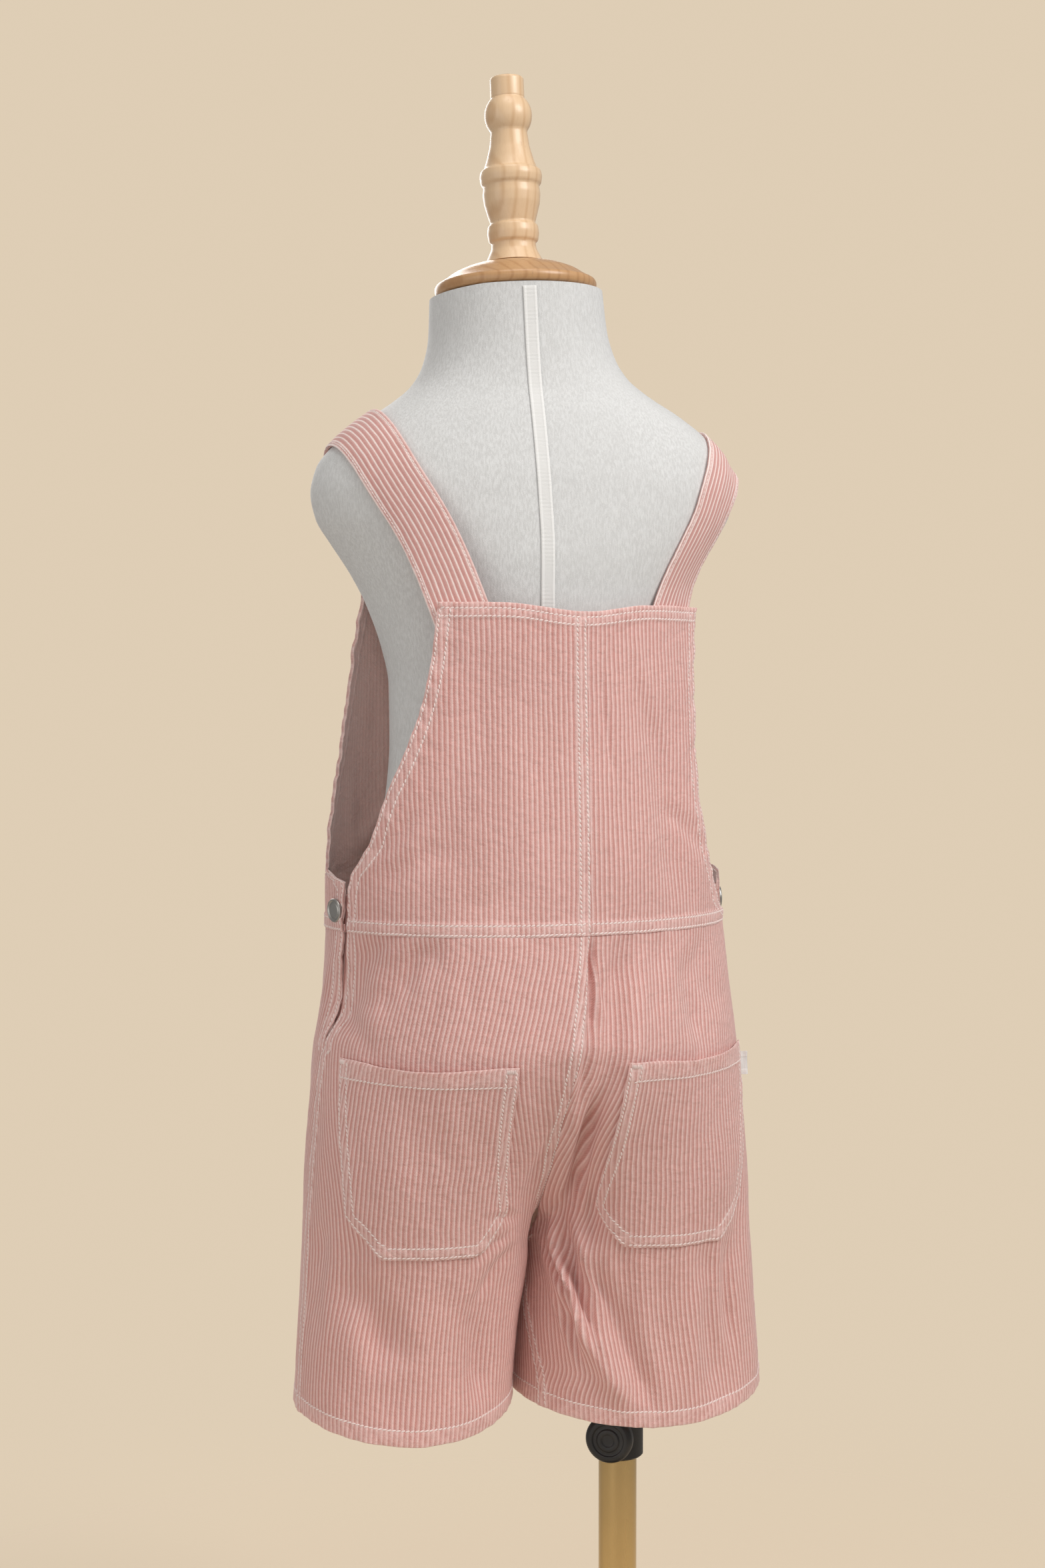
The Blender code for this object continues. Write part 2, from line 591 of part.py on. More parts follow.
def side_tab(name, parent):
    """A blank folded tab that stands out of the right side seam."""
    height = np.array([SIDE_TAB_HEIGHT])
    seat = leg_surface(side_seam(height), height, -1, 1)[0]
    mesh = bpy.data.meshes.new(name)
    shape = bmesh.new()
    bmesh.ops.create_cube(shape, size=1.0)
    bmesh.ops.scale(shape, verts=shape.verts, vec=(0.006, 0.0010, 0.015))
    shape.to_mesh(mesh)
    shape.free()
    item = add_object(name, mesh, "tab", parent)
    item.location = (seat[0] - 0.0042, seat[1], seat[2])


def button(name, point, out, lift, radius, parent):
    """A plain flat metal button with a rounded rim, lying on the cloth by a point moved out by lift."""
    thick = 0.0024
    profile = [(0.0, thick), (radius * 0.62, thick), (radius * 0.72, thick * 0.75), (radius * 0.82, thick),
               (radius * 0.95, thick * 0.9), (radius, thick * 0.5), (radius * 0.95, 0.0), (0.0, 0.0)]
    item = turned_object(name, profile, "nickel", 14, parent)
    item.location = Vector(point) + Vector(out) * lift
    item.rotation_euler = Vector(out).to_track_quat("Z", "Y").to_euler()


# ---------------------------------------------------------------- the form
def shoulder_drop(x, height):
    """How much lower the form's left shoulder lies at a distance out from its middle."""
    return SHOULDER_DROP * np.maximum(x - SHOULDER_DROP_START, 0.0) * ease(height, 0.44, 0.50)


def form_measure(points):
    """Below 1 inside the form and above 1 outside it, for points in the garment's frame."""
    points = turned_about_axis(points, -FORM_TURN)
    height = points[..., 2] + shoulder_drop(points[..., 0], points[..., 2])
    lean = np.maximum(height - NECK_LEAN_START, 0.0) * math.tan(math.radians(NECK_LEAN))
    x = (points[..., 0] - lean) / column_at(FORM_RINGS, "half_width", height)
    behind = points[..., 1] >= 0
    depth = np.where(behind, column_at(FORM_RINGS, "back", height), column_at(FORM_RINGS, "front", height))
    return np.hypot(x, points[..., 1] / depth)


def garment_measure(points):
    """Below 1 inside the garment's body outline and above 1 outside it."""
    height = points[..., 2]
    flat = turned_about_axis(points, -column_at(GIRTHS, "twist", height))
    behind = flat[..., 1] >= 0
    depth = np.where(behind, column_at(GIRTHS, "back", height), column_at(GIRTHS, "front", height))
    return np.hypot(flat[..., 0] / column_at(GIRTHS, "half_width", height), flat[..., 1] / depth)


def surface_along(measure, start, direction, reach=0.16):
    """The distance from inside points, along directions, to where a measure passes 1."""
    low = np.zeros(start.shape[:-1])
    high = np.full(start.shape[:-1], reach)
    for _ in range(30):
        middle = (low + high) / 2
        inside = measure(start + direction * middle[..., None]) < 1
        low = np.where(inside, middle, low)
        high = np.where(inside, high, middle)
    return (low + high) / 2


def gradient_of(measure, points):
    """Unit outward normals of a measure at points."""
    step = 0.002
    axes = np.eye(3) * step
    slope = np.stack([measure(points + axis) - measure(points - axis) for axis in axes], axis=-1)
    return slope / np.linalg.norm(slope, axis=-1, keepdims=True)


def smoothed(values, passes):
    """Rows of values eased along their run, with both ends kept."""
    for _ in range(passes):
        values = values.copy()
        values[1:-1] = (values[:-2] + 2 * values[1:-1] + values[2:]) / 4
    return values


def strap_band(name, route, parent):
    """A strap from under the back bib's hem, over the shoulder, to the face of the front bib. Its line
    is where rays from the hub line meet the form, eased onto the bibs at both ends."""
    back_angle = math.atan2(STRAP_BACK_END - STRAP_HUB, route.back_y)
    front_angle = math.pi + math.atan2(STRAP_HUB - STRAP_FRONT_END, route.front_y)
    even = np.linspace(0.0, 1.0, 30)
    share = np.concatenate([[0.0], even[1] * np.array([0.33, 0.67]), even[1:]])
    turn = back_angle + (front_angle - back_angle) * share
    over = bump(share, 0.0, 1.03) ** 0.34
    end_x = np.where(share < 0.5, route.back_x, route.front_x)
    x = end_x + (route.shoulder_x - end_x) * over
    start = np.stack([x, 0 * x - x * math.tan(math.radians(-FORM_TURN)) * 0.8, 0 * x + STRAP_HUB], axis=-1)
    ray = np.stack([0 * x, np.cos(turn), np.sin(turn)], axis=-1)
    form_reach = surface_along(form_measure, start, ray)
    bib_reach = surface_along(garment_measure, start, ray)
    back_share = 1 - ease(share, 0.03, 0.22)
    front_share = ease(share, 0.72, 0.885)
    bib_share = back_share + front_share
    lift = np.where(share < 0.5, -(FOLDED_EDGE + 2 * SEAM_GAP + STRAP_WALL), 2 * SEAM_GAP)
    centre = start + ray * (form_reach * (1 - bib_share) + bib_reach * bib_share)[:, None]
    calm = start * np.array([STRAP_CALM, 1.0, 1.0])
    calm = calm + ray * surface_along(form_measure, calm, ray)[:, None]
    normal = (gradient_of(form_measure, calm) * (1 - bib_share)[:, None]
              + gradient_of(garment_measure, start + ray * bib_reach[:, None]) * bib_share[:, None])
    normal = smoothed(normal / np.linalg.norm(normal, axis=-1, keepdims=True), 3)
    normal /= np.linalg.norm(normal, axis=-1, keepdims=True)
    tangent = np.gradient(centre, axis=0, edge_order=2)
    aside = np.cross(tangent, normal)
    aside = smoothed(aside / np.linalg.norm(aside, axis=-1, keepdims=True), 2)
    aside /= np.linalg.norm(aside, axis=-1, keepdims=True)
    reach = np.linspace(-STRAP_WIDTH / 2, STRAP_WIDTH / 2, 5)
    depth = 0.030
    inside = centre[:, None, :] - normal[:, None, :] * depth + aside[:, None, :] * reach[None, :, None]
    along = np.broadcast_to(normal[:, None, :], inside.shape)
    form_hit = surface_along(form_measure, inside, along, 0.06) + STRAP_CLEARANCE
    bib_hit = surface_along(garment_measure, inside, along, 0.06) + lift[:, None]
    share_grid = bib_share[:, None]
    hit = np.maximum(form_hit * (1 - share_grid) + bib_hit * share_grid, form_hit)
    hit = np.maximum(hit, hit[:, 2:3] - STRAP_BRIDGE)
    inner = inside + along * hit[..., None]
    outer = inner + along * STRAP_WALL
    wall_object(name, outer, inner, "strap_twill", parent)
    return outer, along


def form_torso(parent):
    """The form's torso: rings through its table, closed by flat ends, bored for the sleeve and pole."""
    around = np.linspace(0.0, 2 * math.pi, 40, endpoint=False)[None, :]
    height = np.array([row.height for row in FORM_RINGS])[:, None]
    depth = np.where(np.sin(around) >= 0, column_at(FORM_RINGS, "back", height),
                     column_at(FORM_RINGS, "front", height))
    lean = np.maximum(height - NECK_LEAN_START, 0.0) * math.tan(math.radians(NECK_LEAN))
    x = column_at(FORM_RINGS, "half_width", height) * np.cos(around) + lean
    tilt = (lean - x) * math.tan(math.radians(NECK_LEAN)) * ease(height, 0.60, 0.70)
    points = np.stack([x, depth * np.sin(around), height + tilt - shoulder_drop(x, height)], axis=-1)
    rows, columns = points.shape[:2]
    index = np.arange(rows * columns).reshape(rows, columns)
    beside = np.roll(index, -1, axis=1)
    walls = np.stack([index[:-1], beside[:-1], beside[1:], index[1:]], axis=-1).reshape(-1, 4)
    mesh = bpy.data.meshes.new("form_torso")
    ends = [index[0, ::-1].tolist(), index[-1].tolist()]
    mesh.from_pydata(points.reshape(-1, 3).tolist(), [], walls.tolist() + ends)
    item = add_object("form_torso", mesh, "form_velvet", parent)
    pole_in_form = Matrix.Rotation(-math.radians(FORM_TURN), 4, "Z") @ Vector((-GARMENT_AXIS_X, 0.0, 0.0))
    socket = cylinder_mesh("socket_cutter", SLEEVE_RADIUS + SEAM_GAP, FORM_BOTTOM - 0.01, SLEEVE_TOP + SEAM_GAP)
    bore = cylinder_mesh("bore_cutter", POLE_RADIUS + 0.0007, FORM_BOTTOM - 0.01, POLE_BORE_TOP)
    cut(item, socket, pole_in_form, parent=parent)
    cut(item, bore, pole_in_form, parent=parent)


def centre_tape(parent):
    """The narrow tape down the middle of the form's back, from the neck cap to below the bib's top."""
    height = np.array([NECK_TOP - 0.003, 0.688, 0.667, 0.654, 0.643, 0.631, 0.618, 0.603, 0.587, 0.572, 0.556, 0.535,
                       0.515, 0.490])[:, None]
    lean = np.maximum(height - NECK_LEAN_START, 0.0) * math.tan(math.radians(NECK_LEAN))
    x = np.linspace(-TAPE_HALF_WIDTH, TAPE_HALF_WIDTH, 3)[None, :] + 0 * height
    share = x / column_at(FORM_RINGS, "half_width", height)
    y = column_at(FORM_RINGS, "back", height) * np.sqrt(1 - share ** 2)
    points = np.stack([x + lean, y, height + 0 * x], axis=-1)
    down = np.gradient(points, axis=0)
    out = np.cross(np.gradient(points, axis=1), down)
    out *= np.sign(out[..., 1:2]) / np.linalg.norm(out, axis=-1, keepdims=True)
    inner = points + out * 0.0004
    wall_object("centre_tape", inner + out * 0.0006, inner, "tape", parent)


def arc_profile(centre, radius, start_degrees, end_degrees, count):
    """Points of (radius, height) on an arc about (centre radius, centre height)."""
    angles = np.radians(np.linspace(start_degrees, end_degrees, count))
    return [(centre[0] + radius * math.cos(a), centre[1] + radius * math.sin(a)) for a in angles]


def neck_block(parent):
    """The wooden cap on the neck and the turned finial on it, both on the leaning neck's axis."""
    cap_bottom = NECK_TOP + 2 * SEAM_GAP
    cap_radius = 0.052
    rim = arc_profile((cap_radius - 0.004, cap_bottom + 0.004), 0.004, 75, -90, 7)
    dome = [(0.0, cap_bottom + 0.020), (0.019, cap_bottom + 0.0195), (0.030, cap_bottom + 0.0175),
            (0.040, cap_bottom + 0.0135), (0.045, cap_bottom + 0.0100)]
    turned_object("neck_cap", dome + rim + [(0.0, cap_bottom)], "wood", 28, parent)
    foot = cap_bottom + 0.020 + SEAM_GAP
    top = foot + 0.117
    ball = arc_profile((0.0, top - 0.0242), 0.0152, 46, -38, 7)
    profile = [(0.0, top), (0.0096, top), (0.0108, top - 0.0012), (0.0108, top - 0.0125)]
    profile += ball + [
        (0.0116, top - 0.0350), (0.0128, top - 0.0440), (0.0150, top - 0.0520), (0.0170, top - 0.0578),
        (0.0193, top - 0.0592), (0.0200, top - 0.0630), (0.0193, top - 0.0672),
        (0.0178, top - 0.0690), (0.0184, top - 0.0740), (0.0178, top - 0.0800), (0.0150, top - 0.0900),
        (0.0142, top - 0.0925),
        (0.0160, top - 0.0940), (0.0166, top - 0.0985), (0.0158, top - 0.1035), (0.0140, top - 0.1050),
        (0.0146, top - 0.1090), (0.0180, top - 0.1160), (0.0186, top - 0.1170), (0.0, foot)]
    turned_object("finial", profile, "wood", 22, parent)


# ---------------------------------------------------------------- the stand
def stand_pieces(parent):
    """The pole and its base, the sleeve under the form, and the collar whose knob grips the pole."""
    hub_top = 0.034
    base_profile = [(0.0, BASE_THICKNESS), (POLE_RADIUS + SEAM_GAP, BASE_THICKNESS),
                    (POLE_RADIUS + SEAM_GAP, hub_top), (0.0200, hub_top), (0.0212, hub_top - 0.0012),
                    (0.0212, 0.0160), (0.0240, 0.0125), (0.0300, BASE_THICKNESS + 0.0008),
                    (BASE_RADIUS - 0.004, BASE_THICKNESS - 0.0010), (BASE_RADIUS - 0.001, 0.0070),
                    (BASE_RADIUS, 0.0045), (BASE_RADIUS, 0.0), (0.0, 0.0)]
    turned_object("base", base_profile, "black_steel", 40)
    pole_mesh = cylinder_mesh("pole", POLE_RADIUS, BASE_THICKNESS + SEAM_GAP, HEM_HEIGHT + POLE_TOP)
    add_object("pole", pole_mesh, "brass")
    sleeve_profile = [(SLEEVE_BORE, SLEEVE_TOP), (SLEEVE_RADIUS, SLEEVE_TOP),
                      (SLEEVE_RADIUS, COLLAR_TOP + SEAM_GAP), (SLEEVE_BORE, COLLAR_TOP + SEAM_GAP),
                      (SLEEVE_BORE, SLEEVE_TOP)]
    turned_object("sleeve", sleeve_profile, "black_steel", 32, parent)
    collar_profile = [(SLEEVE_BORE, COLLAR_TOP), (COLLAR_RADIUS - 0.001, COLLAR_TOP),
                      (COLLAR_RADIUS, COLLAR_TOP - 0.001), (COLLAR_RADIUS, COLLAR_BOTTOM + 0.001),
                      (COLLAR_RADIUS - 0.001, COLLAR_BOTTOM), (SLEEVE_BORE, COLLAR_BOTTOM),
                      (SLEEVE_BORE, COLLAR_TOP)]
    collar = turned_object("clamp_collar", collar_profile, "black_plastic", 32, parent)
    aim = Vector((math.cos(math.radians(KNOB_DIRECTION)), math.sin(math.radians(KNOB_DIRECTION)), 0.0))
    facing = aim.to_track_quat("Z", "Y").to_euler()
    knob_place = Vector((0.0, 0.0, KNOB_HEIGHT))
    stud_radius = 0.0030
    stud_bore = cylinder_mesh("stud_cutter", stud_radius + SEAM_GAP, 0.008, 0.030, 20)
    cut(collar, stud_bore, knob_place, facing, parent)
    near = COLLAR_RADIUS + SEAM_GAP
    face = near + 0.0125
    knob_profile = [(0.0, face - 0.0006), (0.0040, face - 0.0006), (0.0050, face), (0.0072, face),
                    (0.0080, face - 0.0010), (0.0100, face - 0.0010), (0.0108, face - 0.0002),
                    (0.0132, face - 0.0004), (KNOB_RADIUS - 0.0008, face - 0.0016), (KNOB_RADIUS, face - 0.0032),
                    (KNOB_RADIUS, near + 0.0040), (KNOB_RADIUS - 0.002, near + 0.0022), (0.0090, near + 0.0012),
                    (0.0075, near), (stud_radius, near), (stud_radius, POLE_RADIUS + SEAM_GAP),
                    (0.0, POLE_RADIUS + SEAM_GAP)]
    knob = turned_object("clamp_knob", knob_profile, "black_plastic", 24, parent)
    knob.location = knob_place
    knob.rotation_euler = facing


# ---------------------------------------------------------------- assembly
def garment(parent):
    """All the pieces of the dungaree shorts."""
    back_bib_panel("back_bib_left", 1, parent)
    back_bib_panel("back_bib_right", -1, parent)
    front_bib_panel("front_bib", parent)
    for face_name, face in (("back", 1), ("front", -1)):
        for side_name, side in (("left", 1), ("right", -1)):
            leg_panel(face_name + "_leg_" + side_name, side, face, parent)
    for side_name, side in (("left", 1), ("right", -1)):
        pocket_patch("pocket_" + side_name, side, parent)
        side_facing("side_facing_" + side_name, side, parent)
        band, out = strap_band("strap_" + side_name, STRAP_ROUTES["strap_" + side_name], parent)
        button("strap_button_" + side_name, band[-2, 2], out[-2, 2], 0.0006, 0.0090, parent)
        angle = np.array([SIDE_BUTTON_ANGLE if side > 0 else math.pi - SIDE_BUTTON_ANGLE])
        height = np.array([SIDE_BUTTON_HEIGHT])
        out = outward_normals(body_surface, angle, height)[0]
        button("side_button_" + side_name, body_surface(angle, height)[0], out, 0.0004, 0.0075, parent)
    side_tab("side_tab", parent)


clear_scene()
PARTS = new_collection("dungaree_shorts_on_form")
CUTTERS = new_collection("cutters")
garment_axis = add_empty("garment_axis", (GARMENT_AXIS_X, 0.0, HEM_HEIGHT))
form_axis = add_empty("form_axis", (0.0, 0.0, 0.0), (0.0, 0.0, math.radians(FORM_TURN)), garment_axis)
pole_axis = add_empty("pole_axis", (0.0, 0.0, HEM_HEIGHT))
neck_axis = add_empty("neck_axis", (0.0, 0.0, NECK_LEAN_START), (0.0, math.radians(NECK_LEAN), 0.0), form_axis)
neck_frame = add_empty("neck_frame", (0.0, 0.0, -NECK_LEAN_START), parent=neck_axis)
garment(garment_axis)
form_torso(form_axis)
centre_tape(form_axis)
neck_block(neck_frame)
stand_pieces(pole_axis)
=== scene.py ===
"""Looks of a child's striped dungaree shorts on a limbless dress form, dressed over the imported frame.

Metres, +Z up, in the frame's own axes: the wearer's left is +X and the garment's back faces +Y.
Garment heights are measured from the hem at the side seams, and garment places from its own upright
axis, which stands a little to the wearer's left of the pole.
"""

import logging
import math
from dataclasses import dataclass, field
from enum import Enum
from typing import Callable, Protocol, Union

import bpy
import numpy as np
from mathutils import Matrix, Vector


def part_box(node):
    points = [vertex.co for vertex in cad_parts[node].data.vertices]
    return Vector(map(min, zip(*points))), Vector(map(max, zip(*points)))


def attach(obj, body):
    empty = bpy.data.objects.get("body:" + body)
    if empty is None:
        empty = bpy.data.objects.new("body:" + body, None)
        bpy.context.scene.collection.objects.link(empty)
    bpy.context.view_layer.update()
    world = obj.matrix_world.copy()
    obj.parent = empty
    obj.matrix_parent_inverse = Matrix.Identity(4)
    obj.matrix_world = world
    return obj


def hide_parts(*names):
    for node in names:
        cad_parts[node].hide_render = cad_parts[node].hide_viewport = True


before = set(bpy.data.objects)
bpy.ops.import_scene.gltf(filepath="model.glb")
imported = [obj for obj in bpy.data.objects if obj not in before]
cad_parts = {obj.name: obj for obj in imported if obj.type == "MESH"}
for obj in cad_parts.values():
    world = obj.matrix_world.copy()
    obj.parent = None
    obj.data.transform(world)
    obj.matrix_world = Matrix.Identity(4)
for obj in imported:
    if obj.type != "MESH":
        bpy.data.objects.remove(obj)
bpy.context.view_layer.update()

LOG = logging.getLogger("dungaree_shorts")
Array = np.ndarray
Surface = Callable[[Array, Array], Array]
Reach = Callable[[Array], tuple]
Measure = Callable[[Array], Array]
Piece = bpy.types.Object
Material = bpy.types.Material
Socket = bpy.types.NodeSocket
Value = Union[Socket, float, tuple]

HEM_HEIGHT = 0.33           # the hem at the side seams, above the floor
GARMENT_AXIS_X = 0.063       # the garment hangs this far to the wearer's left of the pole
GARMENT_ORIGIN = np.array([GARMENT_AXIS_X, 0.0, HEM_HEIGHT])
MM = 0.001                   # the fold and crease tables are in millimetres
CLOTH = 0.0013               # one layer of twill
CROTCH = 0.098               # this and the heights below are above the hem
WAIST = 0.309
SEAT_START = 0.24
BACK_BIB_TOP = 0.509
FRONT_BIB_TOP = 0.548
OPENING_BOTTOM = 0.232       # foot of each side opening
OPENING_TOP = 0.342          # foot of each armhole
OPENING_GAPE = 0.0045
SEAM_GAP = 0.0003            # between two pieces that are sewn together
QUARTER_GIRTH = 0.195


class Body(Enum):
    """The frame's bodies that pieces ride on."""

    STAND = "stand"
    FORM = "form"
    KNOB = "knob"


class Side(Enum):
    """The wearer's left and right, as the sign of X."""

    LEFT = 1
    RIGHT = -1


class Face(Enum):
    """The garment's back and front, as the sign of Y."""

    BACK = 1
    FRONT = -1


class Edge(Enum):
    """The four edges of a cloth panel. START and END are its sides."""

    START = "start"
    END = "end"
    TOP = "top"
    BOTTOM = "bottom"


# ---------------------------------------------------------------- small tools
def ease(value: Array, low: float, high: float) -> Array:
    """0 up to low, 1 from high, and 3u^2 - 2u^3 between."""
    u = np.clip((value - low) / (high - low), 0.0, 1.0)
    return u * u * (3 - 2 * u)


def bump(value: Array, low: float, high: float) -> Array:
    """The square of a half sine wave that is 0 at low and at high and 1 half way."""
    u = np.clip((value - low) / (high - low), 0.0, 1.0)
    return np.sin(math.pi * u) ** 2


def unit(vectors: Array) -> Array:
    """Vectors divided by their lengths."""
    return vectors / np.maximum(np.linalg.norm(vectors, axis=-1, keepdims=True), 1e-12)


def turned_about_z(points: Array, degrees: Array) -> Array:
    """Points turned about +Z by the angle's sine and cosine."""
    angle = np.radians(degrees)
    x = points[..., 0] * np.cos(angle) - points[..., 1] * np.sin(angle)
    y = points[..., 0] * np.sin(angle) + points[..., 1] * np.cos(angle)
    return np.stack([x, y, points[..., 2] + 0 * x], axis=-1)


def smoothed(values: Array, passes: int) -> Array:
    """Rows of values, each averaged 1:2:1 with its neighbours, with both ends kept."""
    for _ in range(passes):
        values = values.copy()
        values[1:-1] = (values[:-2] + 2 * values[1:-1] + values[2:]) / 4
    return values


def grid_normals(points: Array, outward: Array) -> Array:
    """The cross product of a grid's two directions, made to point along outward on average.

    Args:
        points: A grid of places.
        outward: A vector, or a grid of them, that the normals should roughly follow.

    Returns:
        Unit normals of the same shape.
    """
    normal = unit(np.cross(np.gradient(points, axis=1), np.gradient(points, axis=0)))
    return normal * (1.0 if (normal * outward).sum() > 0 else -1.0)


def filleted(profile: list, radius: float, steps: int = 4) -> list:
    """A profile with each corner replaced by a quadratic curve that starts and ends a radius from it.

    Args:
        profile: (radius, height) pairs, as a list or an array.
        radius: How far from each corner its curve starts, or less where a side is short.
        steps: Points on each curve.

    Returns:
        The longer list of pairs, with the two ends kept.
    """
    points = np.array(profile, dtype=float)
    corner = points[1:-1]
    before, after = points[:-2] - corner, points[2:] - corner
    shorter = np.minimum(np.linalg.norm(before, axis=1), np.linalg.norm(after, axis=1))
    reach = np.minimum(radius, 0.45 * shorter)[:, None]
    first, last = corner + unit(before) * reach, corner + unit(after) * reach
    u = np.linspace(0.0, 1.0, steps)[None, :, None]
    curve = (1 - u) ** 2 * first[:, None] + 2 * u * (1 - u) * corner[:, None] + u ** 2 * last[:, None]
    return [tuple(points[0]), *map(tuple, curve.reshape(-1, 2)), tuple(points[-1])]


@dataclass(frozen=True)
class SoftNoise:
    """Random values at whole numbers, the same on each run, joined by smooth steps both ways."""

    seed: int
    size: int = 64

    def at(self, u: Array, v: Array) -> Array:
        """Values from -1 to 1 at places (u, v): the four nearest whole places' values, eased together.

        Args:
            u: Places one way.
            v: Places the other way.

        Returns:
            Values of both places' common shape.
        """
        values = np.random.default_rng(self.seed).uniform(-1.0, 1.0, (self.size, self.size))
        u, v = np.broadcast_arrays(u, v)
        column, row = np.floor(u).astype(int), np.floor(v).astype(int)
        across, along = ease(u - column, 0.0, 1.0), ease(v - row, 0.0, 1.0)
        left, right = column % self.size, (column + 1) % self.size
        low, high = (values[level, left] * (1 - across) + values[level, right] * across
                     for level in (row % self.size, (row + 1) % self.size))
        return low * (1 - along) + high * along


@dataclass(frozen=True)
class Table:
    """Named columns over rows of rising heights, the first column."""

    columns: tuple
    rows: tuple

    def at(self, column: str, height: Array) -> Array:
        """The column at any height: cubic pieces through its rows that keep its rises and falls.

        Args:
            column: The column's name.
            height: Heights, held within the table's own.

        Returns:
            Values of the same shape as height.
        """
        table = np.array(self.rows)
        x = table[:, 0]
        y = table[:, self.columns.index(column)]
        span = np.diff(x)
        rise = np.diff(y) / span
        slope = np.concatenate([rise[:1], np.zeros(len(x) - 2), rise[-1:]])
        both = rise[:-1] * rise[1:] > 0
        mean = 2 * rise[:-1] * rise[1:] / np.where(both, rise[:-1] + rise[1:], 1.0)
        slope[1:-1] = np.where(both, mean, 0.0)
        height = np.clip(height, x[0], x[-1])
        i = np.clip(np.searchsorted(x, height) - 1, 0, len(x) - 2)
        u = (height - x[i]) / span[i]
        start = (1 + 2 * u) * (1 - u) ** 2 * y[i] + u * u * (3 - 2 * u) * y[i + 1]
        return start + span[i] * (u * (1 - u) ** 2 * slope[i] - u * u * (1 - u) * slope[i + 1])


# ---------------------------------------------------------------- finishes
class Finish(Protocol):
    """What every finish has: a name, and a method that builds its material."""

    name: str

    def material(self) -> Material:
        """Builds the material."""


class NodeBench:
    """A new material's node tree, with short calls that add and join nodes."""

    def __init__(self, name: str) -> None:
        """Starts a material with a Principled shader."""
        self.material = bpy.data.materials.new(name)
        self.material.use_nodes = True
        self.tree = self.material.node_tree
        self.shader = self.tree.nodes["Principled BSDF"]

    def node(self, kind: str, **settings) -> bpy.types.Node:
        """Adds a node and sets its own properties."""
        node = self.tree.nodes.new(kind)
        for name, value in settings.items():
            setattr(node, name, value)
        return node

    def feed(self, socket: Socket, value: Value) -> None:
        """Joins a socket to another, or sets its number or colour."""
        if isinstance(value, Socket):
            self.tree.links.new(value, socket)
        elif isinstance(value, tuple) and len(value) == 3 and socket.type == "RGBA":
            socket.default_value = (*value, 1.0)
        else:
            socket.default_value = value

    def math(self, operation: str, first: Value, second: Value = 0.0, third: Value = 0.0) -> Socket:
        """One Math node's result."""
        node = self.node("ShaderNodeMath", operation=operation)
        for socket, value in zip(node.inputs, (first, second, third)):
            self.feed(socket, value)
        return node.outputs[0]

    def times(self, first: Value, second: Value) -> Socket:
        """The product of two numbers."""
        return self.math("MULTIPLY", first, second)

    def line(self, value: Value, slope: Value, offset: Value) -> Socket:
        """A value times a slope, plus an offset."""
        return self.math("MULTIPLY_ADD", value, slope, offset)

    def mix(self, share: Value, first: Value, second: Value, blend: str = "MIX") -> Socket:
        """Two colours mixed by a share."""
        node = self.node("ShaderNodeMix", data_type="RGBA", blend_type=blend)
        self.feed(node.inputs[0], share)
        self.feed(node.inputs[6], first)
        self.feed(node.inputs[7], second)
        return node.outputs[2]

    def step(self, value: Value, low: float, high: float, start: float = 0.0, end: float = 1.0) -> Socket:
        """A smooth step from start at low to end at high."""
        node = self.node("ShaderNodeMapRange", interpolation_type="SMOOTHSTEP")
        for socket, number in zip(node.inputs, (value, low, high, start, end)):
            self.feed(socket, number)
        return node.outputs[0]

    def object_place(self) -> Socket:
        """The place on the object, in metres."""
        return self.node("ShaderNodeTexCoord").outputs["Object"]

    def near_middle(self, place: Socket, middle: float) -> Socket:
        """How far a place's fraction lies from a middle."""
        return self.math("ABSOLUTE", self.math("SUBTRACT", self.math("FRACT", place), middle))

    def weave(self) -> tuple:
        """The place on the cloth, whole and as its parts across and along."""
        place = self.node("ShaderNodeUVMap", uv_map="weave").outputs[0]
        split = self.node("ShaderNodeSeparateXYZ")
        self.feed(split.inputs[0], place)
        return place, split.outputs[0], split.outputs[1]

    def scaled(self, vector: Socket, scale: tuple, rotation: tuple = (0.0, 0.0, 0.0)) -> Socket:
        """A place turned and then multiplied by three scales."""
        node = self.node("ShaderNodeMapping", vector_type="POINT")
        self.feed(node.inputs["Vector"], vector)
        node.inputs["Rotation"].default_value = rotation
        node.inputs["Scale"].default_value = scale
        return node.outputs[0]

    def noise(self, vector: Socket, scale: float = 1.0, detail: float = 2.0,
              roughness: float = 0.5) -> Socket:
        """A Noise texture's value."""
        node = self.node("ShaderNodeTexNoise")
        self.feed(node.inputs["Vector"], vector)
        node.inputs["Scale"].default_value = scale
        node.inputs["Detail"].default_value = detail
        node.inputs["Roughness"].default_value = roughness
        return node.outputs[0]

    def attribute(self, name: str) -> Socket:
        """A number that is stored on the mesh."""
        return self.node("ShaderNodeAttribute", attribute_name=name).outputs["Fac"]

    def relief(self, height: Socket, distance: float, strength: float) -> None:
        """Bumps the surface by a height, where 1 stands a distance out."""
        node = self.node("ShaderNodeBump")
        node.inputs["Strength"].default_value = strength
        node.inputs["Distance"].default_value = distance
        self.feed(node.inputs["Height"], height)
        self.feed(self.shader.inputs["Normal"], node.outputs[0])

    def finish(self, **values: Value) -> Material:
        """Feeds the Principled shader's sockets, named with _ for a space, and gives the material."""
        for name, value in values.items():
            title = name.replace("_", " ").title().replace("Ior", "IOR")
            self.feed(self.shader.inputs[title], value)
        return self.material


